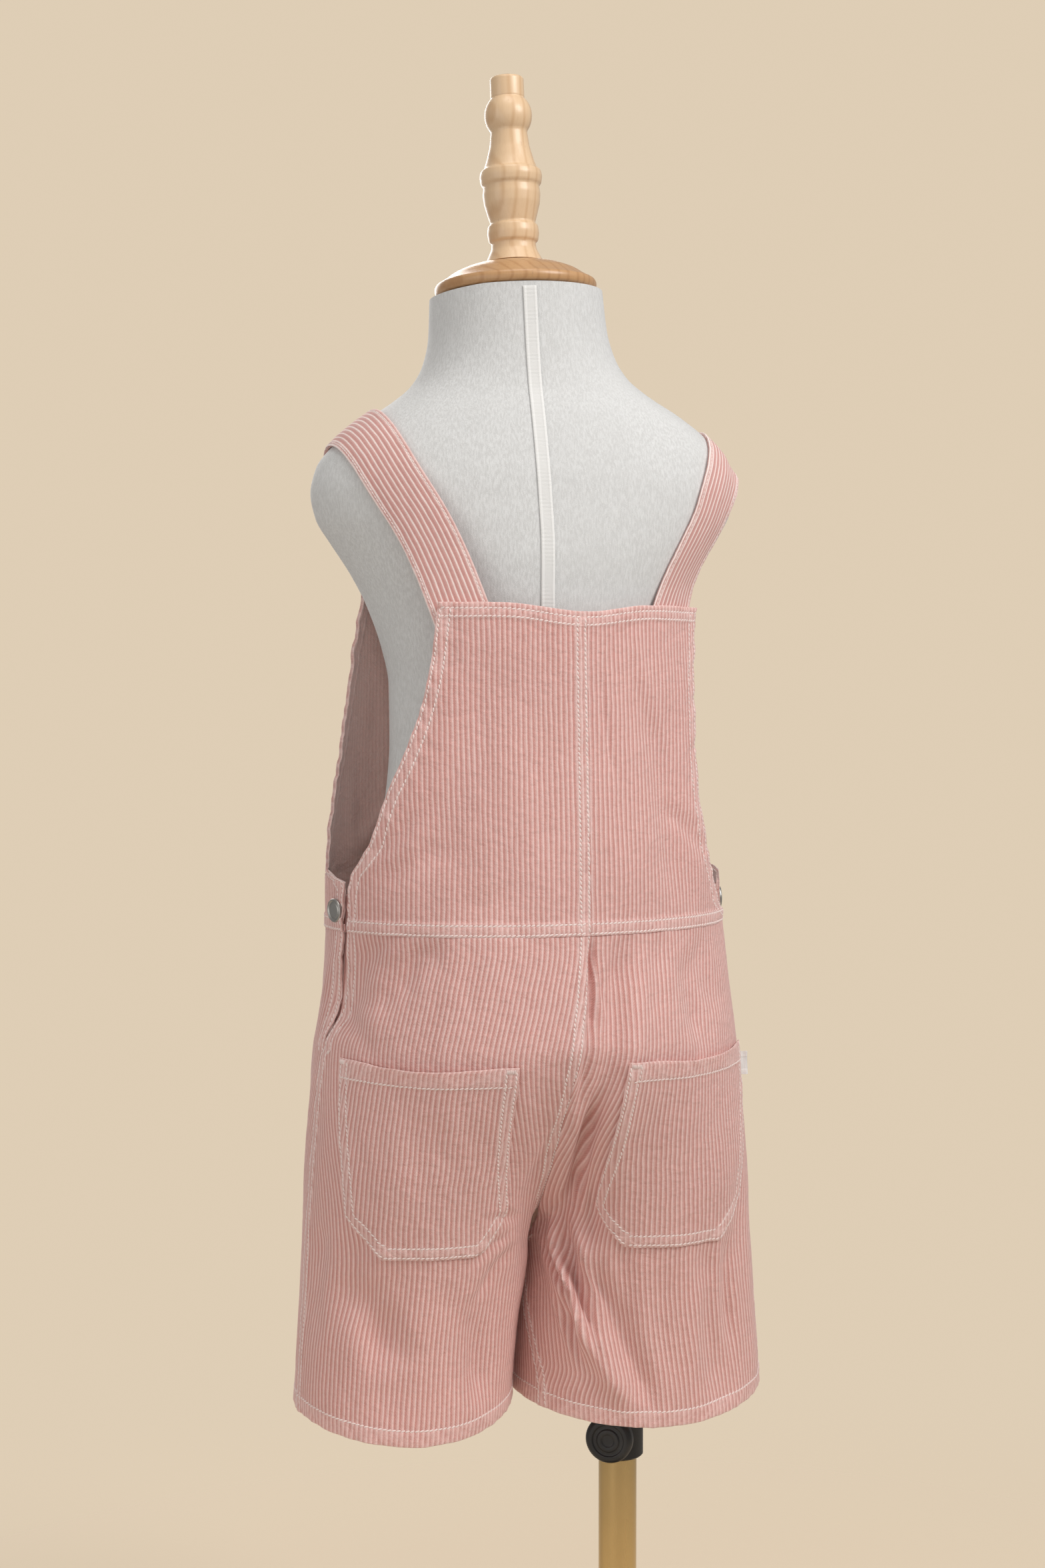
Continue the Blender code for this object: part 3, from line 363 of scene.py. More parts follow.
@dataclass(frozen=True)
class TwillFinish:
    """Striped cotton twill: pale warp stripes with a bright crest on a deeper, diagonally ribbed ground.

    pitch, rib and depth are the stripes' and ribs' repeats and the stripes' height, the shares are parts of
    a pitch, softness that of a stripe's edge, wander how far the yarns stray, and crinkle the height of the
    washed cloth's crinkles, in metres.
    """

    name: str
    ground: tuple
    pale: tuple
    crest: tuple
    reverse: tuple
    pitch: float = 0.00318
    pale_share: float = 0.58
    crest_share: float = 0.24
    rib: float = 0.0015
    softness: float = 0.24
    wander: float = 0.0019
    crinkle: float = 0.0014
    depth: float = 0.00013
    pale_middle: float = 0.5
    crest_middle: float = 0.64
    bleed: tuple = (0.004, 0.0028, 0.0025)

    def band(self, bench: NodeBench, place: Socket, middle: float, share: float) -> Socket:
        """1 where a place's fraction is within half a share of a middle, with soft edges."""
        soft = self.softness
        return bench.step(bench.near_middle(place, middle), (share - soft) / 2, (share + soft) / 2, 1.0, 0.0)

    def wandering(self, bench: NodeBench, weave: Socket) -> Socket:
        """How far the yarns stray: slow noise along them, and a little fast noise."""
        slow = bench.noise(bench.scaled(weave, (26.0, 15.0, 1.0)), 1.0, 1.0)
        fast = bench.noise(bench.scaled(weave, (150.0, 70.0, 1.0)), 1.0, 1.0)
        stray = bench.line(fast, 0.0007, -0.00035)
        return bench.math("ADD", bench.line(slow, self.wander, -self.wander / 2), stray)

    def material(self) -> Material:
        """Builds the material: stripes and crests are bands of the place across the cloth over the pitch,
        and ribs are the same of a slanting place."""
        bench = NodeBench(self.name)
        weave, across, along = bench.weave()
        yarn = bench.noise(bench.scaled(weave, (2300.0, 380.0, 1.0)), 1.0, 2.0, 0.6)
        slub = bench.noise(bench.scaled(weave, (620.0, 55.0, 1.0)), 1.0, 2.0, 0.55)
        place = bench.math("DIVIDE", bench.math("ADD", across, self.wandering(bench, weave)), self.pitch)
        place = bench.math("ADD", place, bench.line(slub, 0.16, -0.08))
        stripe = self.band(bench, place, self.pale_middle, self.pale_share)
        crest = self.band(bench, place, self.crest_middle, self.crest_share)
        slant = bench.math("DIVIDE", bench.line(across, 1.5, along), self.rib)
        rib = bench.step(bench.near_middle(slant, 0.5), 0.08, 0.42)
        fade = bench.noise(bench.object_place(), 16.0, 3.0, 0.55)
        wear = bench.attribute("wear")
        deep = bench.mix(bench.times(rib, 0.42), self.ground, self.pale)
        light = bench.mix(bench.times(rib, 0.22), self.pale, self.ground)
        colour = bench.mix(stripe, deep, light)
        colour = bench.mix(bench.times(crest, 0.85), colour, self.crest)
        colour = bench.mix(bench.times(wear, 0.38), colour, self.crest)
        colour = bench.mix(bench.times(bench.attribute("inside"), 0.75), colour, self.reverse)
        shade = bench.line(yarn, 0.34, 0.83)
        shade = bench.times(shade, bench.line(slub, 0.14, 0.93))
        shade = bench.times(shade, bench.line(fade, 0.14, 0.93))
        grey = bench.node("ShaderNodeCombineColor")
        for socket in grey.inputs[:3]:
            bench.feed(socket, shade)
        colour = bench.mix(1.0, colour, grey.outputs[0], "MULTIPLY")
        height = bench.line(stripe, 0.4, bench.times(rib, 0.3))
        fine = bench.line(crest, 0.3, bench.times(yarn, 0.35))
        height = bench.math("ADD", height, fine)
        puckered = bench.noise(bench.scaled(weave, (125.0, 190.0, 1.0), (0.0, 0.0, 0.5)), 1.0, 3.0, 0.6)
        height = bench.line(height, self.depth, bench.times(puckered, self.crinkle))
        bench.relief(height, 1.0, 0.8)
        bench.shader.inputs["Subsurface Radius"].default_value = self.bleed
        return bench.finish(base_color=colour, roughness=0.92, sheen_weight=0.18, sheen_roughness=0.5,
                            specular_ior_level=0.18, subsurface_weight=0.22, subsurface_scale=1.0)


@dataclass(frozen=True)
class ThreadFinish:
    """Cotton sewing thread, a little shiny, twisted."""

    name: str
    colour: tuple

    def material(self) -> Material:
        """Builds the material, with fine noise for the twist."""
        bench = NodeBench(self.name)
        twist = bench.noise(bench.object_place(), 1900.0, 1.0)
        shade = tuple(0.72 * c for c in self.colour)
        colour = bench.mix(bench.times(twist, 0.35), self.colour, shade)
        bench.relief(twist, 0.00015, 0.6)
        return bench.finish(base_color=colour, roughness=0.62, sheen_weight=0.2)


@dataclass(frozen=True)
class VelvetFinish:
    """Short pale velvet whose nap lies in slanting streaks, with painted glints in its colour."""

    name: str
    low: tuple
    high: tuple

    def material(self) -> Material:
        """Builds the material: noise stretched along the nap gives streaks, and finer noise gives painted
        glints, pale specks mixed into the colour that also raise the bump.
        """
        bench = NodeBench(self.name)
        place = bench.object_place()
        streak = bench.noise(bench.scaled(place, (900.0, 900.0, 230.0), (0.0, 0.6, 0.0)), 1.0, 3.0, 0.62)
        cloud = bench.noise(place, 14.0, 3.0, 0.5)
        painted_glint = bench.step(bench.noise(place, 2300.0, 1.0), 0.56, 0.72)
        colour = bench.mix(bench.step(streak, 0.34, 0.68), self.low, self.high)
        colour = bench.mix(bench.times(bench.step(cloud, 0.36, 0.7), 0.25), colour, self.low)
        # painted glints: specks of fine noise mixed towards near white in the colour
        colour = bench.mix(bench.times(painted_glint, 0.45), colour, (0.93, 0.93, 0.93))
        bench.relief(bench.math("ADD", streak, bench.times(painted_glint, 0.4)), 0.0004, 0.5)
        return bench.finish(base_color=colour, roughness=0.78, sheen_weight=0.35, sheen_roughness=0.35,
                            specular_ior_level=0.3)


@dataclass(frozen=True)
class TapeFinish:
    """White woven ribbon with close cross ribs and firmer edges."""

    name: str
    colour: tuple
    edge: float = 0.003
    edge_width: float = 0.0009
    rib: float = 0.0008

    def material(self) -> Material:
        """Builds the material from the ribbon's own places across and along."""
        bench = NodeBench(self.name)
        _, across, along = bench.weave()
        rib = bench.math("SINE", bench.times(along, 2 * math.pi / self.rib))
        firm = bench.step(bench.math("ABSOLUTE", across), self.edge - self.edge_width, self.edge)
        colour = bench.mix(firm, tuple(0.9 * c for c in self.colour), self.colour)
        bench.relief(bench.line(rib, 0.3, firm), 0.00025, 0.7)
        return bench.finish(base_color=colour, roughness=0.6, sheen_weight=0.15)


@dataclass(frozen=True)
class WoodFinish:
    """Pale lacquered hardwood with its grain along +Z."""

    name: str
    early: tuple
    late: tuple
    ring: float = 0.0075

    def material(self) -> Material:
        """Builds the material: growth rings are a warped wave of the place beside the pith, and pores
        and fibres are noise stretched along the grain."""
        bench = NodeBench(self.name)
        place = bench.object_place()
        warp = bench.noise(bench.scaled(place, (22.0, 22.0, 5.0)), 1.0, 3.0, 0.55)
        split = bench.node("ShaderNodeSeparateXYZ")
        bench.feed(split.inputs[0], place)
        beside = bench.line(split.outputs[1], 0.35, split.outputs[0])
        wave = bench.line(warp, 2.3, bench.math("DIVIDE", beside, self.ring))
        ring = bench.near_middle(wave, 0.5)
        fibre = bench.noise(bench.scaled(place, (900.0, 900.0, 34.0)), 1.0, 3.0, 0.6)
        fine = bench.times(fibre, 0.5)
        share = bench.line(bench.step(ring, 0.28, 0.5), 0.55, fine)
        colour = bench.mix(share, self.early, self.late)
        pore = bench.step(fibre, 0.66, 0.74)
        colour = bench.mix(bench.times(pore, 0.3), colour, tuple(0.5 * c for c in self.late))
        bench.relief(bench.math("SUBTRACT", fibre, pore), 0.00008, 0.5)
        rough = bench.line(fibre, 0.14, 0.34)
        return bench.finish(base_color=colour, roughness=rough, coat_weight=0.35, coat_roughness=0.25)


@dataclass(frozen=True)
class MetalFinish:
    """Plated or polished metal with fine wear."""

    name: str
    colour: tuple
    roughness: float
    grain: tuple = (300.0, 300.0, 300.0)

    def material(self) -> Material:
        """Builds the material: stretched noise varies its roughness and darkens it a little."""
        bench = NodeBench(self.name)
        place = bench.object_place()
        scratch = bench.noise(bench.scaled(place, self.grain), 1.0, 3.0, 0.6)
        smear = bench.noise(place, 35.0, 2.0)
        shade = tuple(0.72 * c for c in self.colour)
        colour = bench.mix(bench.times(smear, 0.45), self.colour, shade)
        rough = bench.line(scratch, 0.16, self.roughness)
        bench.relief(scratch, 0.00002, 0.4)
        return bench.finish(base_color=colour, metallic=1.0, roughness=rough)


@dataclass(frozen=True)
class CoatFinish:
    """Moulded plastic or powder coat, with a fine orange-peel grain."""

    name: str
    colour: tuple
    roughness: float
    grain: float = 900.0
    depth: float = 0.00006

    def material(self) -> Material:
        """Builds the material from fine grain and broad dust."""
        bench = NodeBench(self.name)
        place = bench.object_place()
        peel = bench.noise(place, self.grain, 2.0)
        dust = bench.noise(place, 26.0, 4.0, 0.6)
        dusty = tuple(c * 1.7 + 0.012 for c in self.colour)
        colour = bench.mix(bench.step(dust, 0.45, 0.75), self.colour, dusty)
        rough = bench.line(dust, 0.22, self.roughness)
        bench.relief(peel, self.depth, 0.7)
        return bench.finish(base_color=colour, roughness=rough)


PINK_TWILL = TwillFinish("pink_striped_twill", (0.565, 0.262, 0.232), (0.725, 0.448, 0.415),
                         (0.87, 0.63, 0.6), (0.88, 0.7, 0.66))
STRAP_TWILL = TwillFinish("rose_strap_twill", (0.59, 0.3, 0.272), (0.68, 0.4, 0.37),
                          (0.95, 0.8, 0.765), (0.6, 0.35, 0.32), pitch=0.0033, pale_share=0.56,
                          crest_share=0.28, softness=0.12, wander=0.0006, crinkle=0.0004, depth=0.00004)
THREAD = ThreadFinish("white_thread", (0.9, 0.745, 0.71))
VELVET = VelvetFinish("form_velvet", (0.61, 0.615, 0.612), (0.73, 0.74, 0.742))
TAPE = TapeFinish("white_tape", (0.86, 0.86, 0.85))
RIBBON = TapeFinish("satin_ribbon", (0.84, 0.82, 0.8), 0.0045)
CAP_WOOD = WoodFinish("honey_wood", (0.59, 0.345, 0.165), (0.44, 0.225, 0.09))
PALE_WOOD = WoodFinish("pale_wood", (0.81, 0.59, 0.375), (0.66, 0.425, 0.235))
NICKEL = MetalFinish("nickel_plate", (0.46, 0.45, 0.43), 0.3)
BRASS = MetalFinish("brass_tube", (0.66, 0.485, 0.235), 0.17, (260.0, 260.0, 9.0))
BLACK_PLASTIC = CoatFinish("black_plastic", (0.014, 0.014, 0.015), 0.34)
BLACK_STEEL = CoatFinish("black_powder_coat", (0.018, 0.018, 0.019), 0.42, 1300.0, 0.00012)


class Wardrobe:
    """Every finish's material, made once and shared."""

    made: dict = {}

    @classmethod
    def of(cls, finish: Finish) -> Material:
        """A finish's material, which its first piece makes."""
        if finish.name not in cls.made:
            cls.made[finish.name] = finish.material()
        return cls.made[finish.name]


def new_piece(name: str, points: Array, faces: list, finish: Finish, body: Body,
              nodes: tuple = (), sharp: float = 50.0) -> Piece:
    """A finished piece from points and faces, riding on its body.

    Args:
        name: The piece's name.
        points: Its places, in the frame's axes.
        faces: Its faces, as rows of point numbers.
        finish: The finish that dresses it.
        body: The body that it rides on.
        nodes: CAD nodes that it stands for.
        sharp: Faces that meet at more than this many degrees keep a hard edge.

    Returns:
        The piece's object.
    """
    mesh = bpy.data.meshes.new(name)
    mesh.from_pydata(points.reshape(-1, 3).tolist(), [], faces)
    mesh.materials.append(Wardrobe.of(finish))
    mesh.shade_smooth()
    mesh.set_sharp_from_angle(angle=math.radians(sharp))
    piece = bpy.data.objects.new(name, mesh)
    bpy.context.scene.collection.objects.link(piece)
    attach(piece, body.value)
    if nodes:
        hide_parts(*nodes)
    LOG.info("%s: %d faces on %s", name, len(faces), body.value)
    return piece


def store_on_points(piece: Piece, name: str, values: Array) -> None:
    """Stores one number for each point of a piece."""
    layer = piece.data.attributes.new(name, "FLOAT", "POINT")
    layer.data.foreach_set("value", np.ascontiguousarray(values, dtype=np.float32).ravel())


def store_weave(piece: Piece, places: Array) -> None:
    """Stores each point's place across and along the cloth, in metres, as the UV map weave."""
    mesh = piece.data
    corner = np.empty(len(mesh.loops), dtype=np.int64)
    mesh.loops.foreach_get("vertex_index", corner)
    layer = mesh.uv_layers.new(name="weave")
    layer.data.foreach_set("uv", places.reshape(-1, 2)[corner].astype(np.float32).ravel())


# ---------------------------------------------------------------- the garment's form
def beside_line(points: Array, x0: float, height0: float, x1: float, height1: float) -> tuple:
    """Where points lie by a straight line in the upright plane.

    Args:
        points: Places from the garment's axis.
        x0: The line's first end across, in millimetres, as are the next three.
        height0: Its height there.
        x1: Its other end across.
        height1: Its height there.

    Returns:
        The share of the line that is passed, and the distance beside it in metres.
    """
    run = MM * np.array([x1 - x0, height1 - height0])
    length = np.hypot(*run)
    run = run / length
    x = points[..., 0] - MM * x0
    z = points[..., 2] - MM * height0
    return (x * run[0] + z * run[1]) / length, x * run[1] - z * run[0]


@dataclass(frozen=True)
class GarmentForm:
    """The worn garment's surfaces, worked out from its girths, its legs and its large folds."""

    hem_dip: float = 0.01
    right_flare: float = 0.009
    inseam_turn: float = 28.0
    girths: Table = Table(
        ("height", "half_width", "back", "front", "twist"),
        ((0.000, 0.1505, 0.112, 0.103, -3.0), (0.098, 0.1455, 0.112, 0.103, -3.0),
         (0.18, 0.142, 0.113, 0.104, -2.5), (0.231, 0.139, 0.11, 0.103, -1.0),
         (0.27, 0.1345, 0.104, 0.1, 2.0), (0.309, 0.132, 0.098, 0.097, 4.5),
         (0.342, 0.132, 0.096, 0.095, 5.0), (0.393, 0.129, 0.092, 0.092, 5.5),
         (0.45, 0.125, 0.088, 0.089, 6.0), (0.509, 0.123, 0.086, 0.089, 6.0),
         (0.56, 0.128, 0.083, 0.092, 6.0), (0.64, 0.13, 0.08, 0.09, 6.0)))
    legs: Table = Table(
        ("height", "half_depth", "centre_y", "inner_x", "between_x"),
        ((0.000, 0.069, -0.008, 0.0016, 0.008), (0.05, 0.071, -0.008, 0.0009, 0.005),
         (0.098, 0.074, -0.006, 0.00015, 0.0), (0.16, 0.08, -0.003, 0.00015, 0.0),
         (0.24, 0.086, 0.000, 0.00015, 0.0)))
    back_bib: Table = Table(
        ("height", "left", "right"),
        ((0.309, 0.1288, 0.1286), (0.315, 0.1287, 0.1215), (0.323, 0.1285, 0.114), (0.342, 0.1272, 0.1055),
         (0.352, 0.124, 0.1015), (0.364, 0.119, 0.098), (0.393, 0.1115, 0.0925),
         (0.411, 0.105, 0.0905), (0.439, 0.096, 0.09), (0.468, 0.0895, 0.091), (0.509, 0.0845, 0.0935)))
    front_bib: Table = Table(
        ("height", "left", "right"),
        ((0.342, 0.13, 0.13), (0.356, 0.127, 0.127), (0.398, 0.118, 0.118), (0.431, 0.111, 0.111),
         (0.466, 0.104, 0.104), (0.51, 0.0945, 0.0945), (0.548, 0.084, 0.084)))
    # 1 behind or -1 in front, both ends' x and height, width, depth, in mm; a negative depth is a ridge
    folds: tuple = (
        (1, -26, 296, -18, 205, 11, 7.5), (1, -18, 205, -26, 112, 10, 9), (1, -39, 285, -34, 150, 9, -3),
        (1, 116, 300, 136, 246, 9, 6), (1, 88, 302, 118, 262, 10, 4), (1, -12, 90, -50, 8, 7, -6.5),
        (1, -26, 92, -66, 6, 8, 6), (1, 30, 100, 46, 12, 14, 5), (1, 94, 100, 104, 6, 16, 3.5),
        (1, -108, 104, -116, 6, 15, 4), (1, -50, 450, -70, 330, 12, 3.5), (1, 56, 470, 90, 345, 14, 3),
        (-1, 20, 290, 12, 130, 12, 7), (-1, -30, 280, -14, 120, 12, 6), (-1, -112, 300, -132, 236, 10, 6),
        (-1, 112, 300, 130, 240, 10, 5), (-1, 40, 96, 60, 8, 14, 5.5), (-1, -44, 98, -62, 10, 14, 5),
        (-1, 50, 490, 78, 350, 14, 3), (-1, -56, 480, -82, 345, 14, 3))

    def folded(self, points: Array, centre_x: Array) -> Array:
        """Moves points in or out by the large folds: each is a Gaussian across its line, faded at its ends.

        Args:
            points: Places from the garment's axis.
            centre_x: Where the upright line lies from which they are moved.

        Returns:
            The moved places.
        """
        offset = points[..., 0] - centre_x
        out = unit(np.stack([offset, points[..., 1], 0 * offset], axis=-1))
        move = np.zeros(points.shape[:-1])
        for face, *sizes in self.folds:
            width, depth = (MM * size for size in sizes[4:])
            u, away = beside_line(points, *sizes[:4])
            reach = ease(u, -0.15, 0.2) * (1 - ease(u, 0.8, 1.15)) * ease(points[..., 1] * face, 0.0, 0.03)
            move -= depth * np.exp(-((away / width) ** 2)) * reach
        return points + out * move[..., None]

    def body(self, angle: Array, height: Array) -> Array:
        """The garment round the body: an ellipse of the girths at each height, folded and twisted.

        Args:
            angle: 0 at the wearer's left side, pi/2 behind.
            height: Height above the hem.

        Returns:
            Places from the garment's axis.
        """
        angle, height = np.broadcast_arrays(angle, height)
        depth = np.where(np.sin(angle) >= 0, self.girths.at("back", height), self.girths.at("front", height))
        width = self.girths.at("half_width", height)
        points = np.stack([width * np.cos(angle), depth * np.sin(angle), height], axis=-1)
        return turned_about_z(self.folded(points, 0.0), self.girths.at("twist", height))

    def leg(self, across: Array, height: Array, side: Side, face: Face) -> Array:
        """One quarter of the shorts: the body's quarter above the seat, half of the leg's ring below the
        crotch, and an eased mix of the two between them.

        Args:
            across: 0 at the side seam and 1 at the seat seam or inseam.
            height: Height above the hem.
            side: The wearer's left or right leg.
            face: Its back or front.

        Returns:
            Places from the garment's axis.
        """
        across, height = np.broadcast_arrays(across, height)
        side, face = side.value, face.value
        flare = self.right_flare * (1 - ease(height, 0.0, SEAT_START)) if side < 0 else 0.0
        width = self.girths.at("half_width", height) + flare
        depth = np.where(face * across >= 0, self.girths.at("back", height), self.girths.at("front", height))
        inner = self.legs.at("inner_x", height) + side * self.legs.at("between_x", height)
        swing = math.radians(self.inseam_turn) * (1 - ease(height, 0.0, CROTCH)) if side < 0 else 0.0
        quarter = across * math.pi / 2
        around = across * math.pi - face * swing * across ** 2
        body = np.stack([width * np.cos(quarter), face * depth * np.sin(quarter)], axis=-1)
        ring_x = (width + inner) / 2 + (width - inner) / 2 * np.cos(around)
        ring_y = self.legs.at("centre_y", height) + face * self.legs.at("half_depth", height) * np.sin(around)
        fall = np.clip((SEAT_START - height) / (SEAT_START - CROTCH), 0.0, 1.0)
        bent = across ** 4
        share = (fall * fall * (3 - 2 * fall) * (1 - bent) + fall ** 1.3 * bent)[..., None]
        flat = body * (1 - share) + np.stack([ring_x, ring_y], axis=-1) * share
        dip = self.hem_dip * np.maximum(face * np.sin(around), 0.0) ** 2 * (1 - ease(height, 0.0, CROTCH))
        points = np.stack([side * flat[..., 0], flat[..., 1], height - dip], axis=-1)
        middle = side * (width + inner) / 2 * np.clip((WAIST - height) / (WAIST - CROTCH), 0.0, 1.0)
        return turned_about_z(self.folded(points, middle), self.girths.at("twist", height))

    def bib_edge(self, height: Array, table: Table, side: Side) -> Array:
        """How far round from the side a bib's edge lies: the arc cosine of its reach over the half width."""
        width = self.girths.at("half_width", height)
        reach = table.at("left" if side is Side.LEFT else "right", height)
        return np.arccos(np.clip(reach / width, -1.0, 1.0)) + opening_pull(height) * math.pi / 2

    def front_edge(self, height: Array, side: Side) -> Array:
        """The same for the front bib: below its armholes its wings reach back to the side openings, by an
        eased step 6 mm high."""
        wing = (opening_pull(height) - side_seam(height)) * math.pi / 2
        share = ease(height, OPENING_TOP - 0.004, OPENING_TOP + 0.002)
        return wing + (self.bib_edge(height, self.front_bib, side) - wing) * share


def side_seam(height: Array) -> Array:
    """How far behind the garment's side each side seam lies, as a share of a quarter of the girth: 0.045
    up to the crotch, eased up to 0.135 at the waist."""
    return 0.045 + 0.09 * ease(height, CROTCH, WAIST)


def opening_pull(height: Array) -> Array:
    """How far each edge of a side opening is drawn back, as a share of a quarter of the girth: half of
    the seam's gap and of the gape, over that quarter."""
    gape = OPENING_GAPE / 2 * bump(height, OPENING_BOTTOM, OPENING_TOP + 0.02)
    return (SEAM_GAP / 2 + gape) / QUARTER_GIRTH


@dataclass(frozen=True)
class Creases:
    """Finer creases, each a soft trough with low shoulders along a slightly bowed line.

    Each row is 1 behind or -1 in front, both ends' x and height, the width, the depth and the bow, in mm.
    A negative depth is a ridge.
    """

    rows: tuple = (
        # back bib
        (1, -22, 470, -32, 398, 2, 1.2, 2),
        (1, 118, 352, 88, 388, 6, 1.8, 3),
        (1, 112, 336, 70, 362, 7.5, 1.6, -3),
        (1, -100, 352, -66, 384, 6, 1.6, 3),
        (1, -46, 490, -70, 420, 6, -1.2, 2),
        (1, 10, 430, 22, 350, 9, 1, 3),
        (1, 66, 322, 30, 340, 8, 1, 2),
        # seat and hips
        (1, 104, 302, 112, 262, 5, -2.2, 2),
        (1, 90, 300, 98, 270, 4, 1.4, 1),
        (1, 128, 286, 118, 236, 5, 2.2, 3),
        (1, 60, 300, 64, 256, 7, 1, 2),
        (1, -62, 302, -54, 250, 7, 1.4, 3),
        (1, -92, 300, -104, 256, 7, 1.8, 2),
        (1, 10, 262, 22, 170, 10, 1.6, 4),
        (1, -4, 210, 18, 128, 5, 1.8, 3),
        (1, -20, 160, 4, 104, 5.5, 4, -2),
        (1, -12, 306, -11, 250, 3, 6.2, 0.8),
        (1, -17.5, 303, -19, 262, 2.2, 1.6, 1),
        (1, -11, 264, -6, 200, 4.2, 4.2, 1.5),
        (1, -16.5, 214, -15, 112, 4.2, 5.8, 1),
        (1, -25.5, 204, -24, 104, 3.6, -3, 1),
        (1, -83, 295, -90, 235, 10, 3.8, 3),
        # crotch
        (1, 26, 118, 56, 100, 3.6, 1.8, 2),
        (1, 22, 108, 50, 74, 4.2, 2.2, 3),
        (1, 18, 126, 48, 132, 3.6, 1.2, 1),
        (1, 2, 128, -7, 78, 3, 2.6, 2),
        (1, -4, 104, -36, 34, 2.2, -1.6, 1.5),
        (1, -5, 122, -25.5, 34, 2.6, -4.2, 1.2),
        (1, -1, 112, -17.5, 34, 2, -3.2, 1),
        (1, -3, 116, -21.5, 32, 1.9, 4, 1),
        (1, -9, 130, -31, 36, 3.6, 6.4, 1.4),
        (1, -14, 134, -37, 58, 3.4, -3, 1.4),
        # back legs
        (1, 101, 78, 112, 32, 8, 2.2, 3),
        (1, 122, 94, 96, 40, 12, 5.6, 4),
        (1, 138, 125, 143, 50, 4.5, 2.4, 2),
        (1, -117, 112, -124, 28, 5.5, 3, 2),
        (1, -108, 118, -112, 34, 5, -2, 2),
        (1, 72, 94, 66, 20, 10, 1.6, -4),
        (1, 50, 82, 42, 14, 7.5, 2.8, 3),
        (1, 118, 130, 128, 62, 8, 2, 2),
        (1, -70, 96, -76, 18, 10, 1.8, 4),
        (1, -96, 84, -92, 12, 7, -1.6, 2),
        (1, -44, 120, -52, 40, 7, 2, 3),
        (1, -124, 160, -130, 70, 8, 2.2, 3),
        # front, alike but not the same
        (-1, 18, 120, 56, 100, 4, 2.2, 2),
        (-1, -16, 122, -52, 106, 4, 2, 2),
        (-1, 22, 140, 60, 150, 5, 1.6, 2),
        (-1, -20, 144, -58, 152, 5, 1.4, -2),
        (-1, 10, 106, 34, 64, 4.5, 2.2, 2),
        (-1, -10, 104, -30, 58, 4.5, 2.2, 2),
        (-1, 84, 300, 78, 240, 8, 1.8, 3),
        (-1, -80, 302, -90, 236, 8, 1.6, 3),
        (-1, 104, 352, 70, 390, 7, 1.8, 3),
        (-1, -106, 352, -76, 386, 7, 1.6, 3),
        (-1, 30, 440, 22, 350, 9, 1.2, 3),
        (-1, -36, 470, -28, 372, 8, 1.2, -3),
        (-1, 90, 110, 98, 20, 10, 2, 3),
        (-1, -88, 118, -100, 18, 10, 2.2, 3),
        (-1, 64, 210, 90, 130, 9, 1.8, 4),
        (-1, -60, 214, -84, 140, 9, 1.8, 4),
    )

    def depth_at(self, points: Array, normals: Array) -> Array:
        """How far the creases push the surface in: the sum over rows of a Gaussian across the line less
        a low, wider one, where the surface faces the row's way.

        Args:
            points: Places from the garment's axis.
            normals: The surface's normals there.

        Returns:
            Depths, below 0 on a ridge.
        """
        depth = np.zeros(points.shape[:-1])
        for face, *sizes in self.rows:
            width, deep, bow = (MM * size for size in sizes[4:])
            u, away = beside_line(points, *sizes[:4])
            away = (away + bow * 4 * u * (1 - u)) / width
            fade = ease(u, -0.12, 0.3) * (1 - ease(u, 0.65, 1.12)) * ease(face * normals[..., 1], 0.05, 0.4)
            depth += deep * fade * (1.25 * np.exp(-away ** 2) - 0.25 * np.exp(-(away / 2.6) ** 2))
        return depth


# ---------------------------------------------------------------- cloth panels
@dataclass(frozen=True)
class Swell:
    """One size of unevenness in cloth: soft noise of a rise, over lengths across and along, slanted by a
    lean, on a seed of its own."""

    rise: float
    across: float
    along: float
    lean: float = 0.0
    seed: int = 0

    def at(self, seed: int, across: Array, along: Array) -> Array:
        """The rise times the soft noise of the leaning place over both lengths."""
        place = (across + self.lean * along) / self.across
        return self.rise * SoftNoise(seed + self.seed).at(place, along / self.along)


UNREST = (Swell(0.0011, 0.034, 0.085), Swell(0.00055, 0.012, 0.038, 0.0, 50),
          Swell(0.00017, 0.0052, 0.0095, 0.3, 90))
SEAM_WAVE = Swell(1.3, 0.0038, 0.014, 0.8)      # these two are multiplied by an edge's pucker
SEAM_RIPPLE = Swell(1.0, 0.0105, 1.0)
SEAM_ROPE = Swell(0.5, 0.0022, 0.007, 1.0)      # the twisted ridges of a washed seam
EDGE_STRAY = Swell(0.00025, 0.0085, 1.0)        # how unevenly a seam's upper edge runs
EVERYWHERE = (-1.0, 9.0)                        # heights below and above the whole garment
STITCH_STEP = 0.001                             # between the points of a stitch path
MEASURED_STEPS = 260                            # along each row, where its length is measured
STEEPEST_SLANT = 1.6


@dataclass(frozen=True)
class EdgeWork:
    """How one edge of a panel is sewn, between two heights for a side edge.

    band and lift are the width and rise of its folded band, wall its extra thickness inside, pucker the
    height of the waves along it, rows its stitch rows' distances from the edge, and overlap how far the
    cloth runs on past the seam.
    """

    edge: Edge
    low: float = EVERYWHERE[0]
    high: float = EVERYWHERE[1]
    band: float = 0.008
    lift: float = 0.0
    wall: float = 0.0
    pucker: float = 0.00018
    rows: tuple = ()
    overlap: float = 0.0

    def weight(self, height: Array) -> Array:
        """1 between the work's two heights, eased to 0 beyond them over 6 mm."""
        return ease(height, self.low, self.low + 0.006) * (1 - ease(height, self.high - 0.006, self.high))

    def steps(self) -> Array:
        """Distances from the edge for grid lines: close by the edge, the band's end and each row."""
        marks = [0.0, 0.00035, 0.0009] + [self.band + beside for beside in (-0.0006, 0.0, 0.0006)]
        for row in self.rows:
            marks += [row + beside for beside in (-0.0009, -0.0004, 0.0, 0.0004, 0.0009)]
        return np.array(marks)


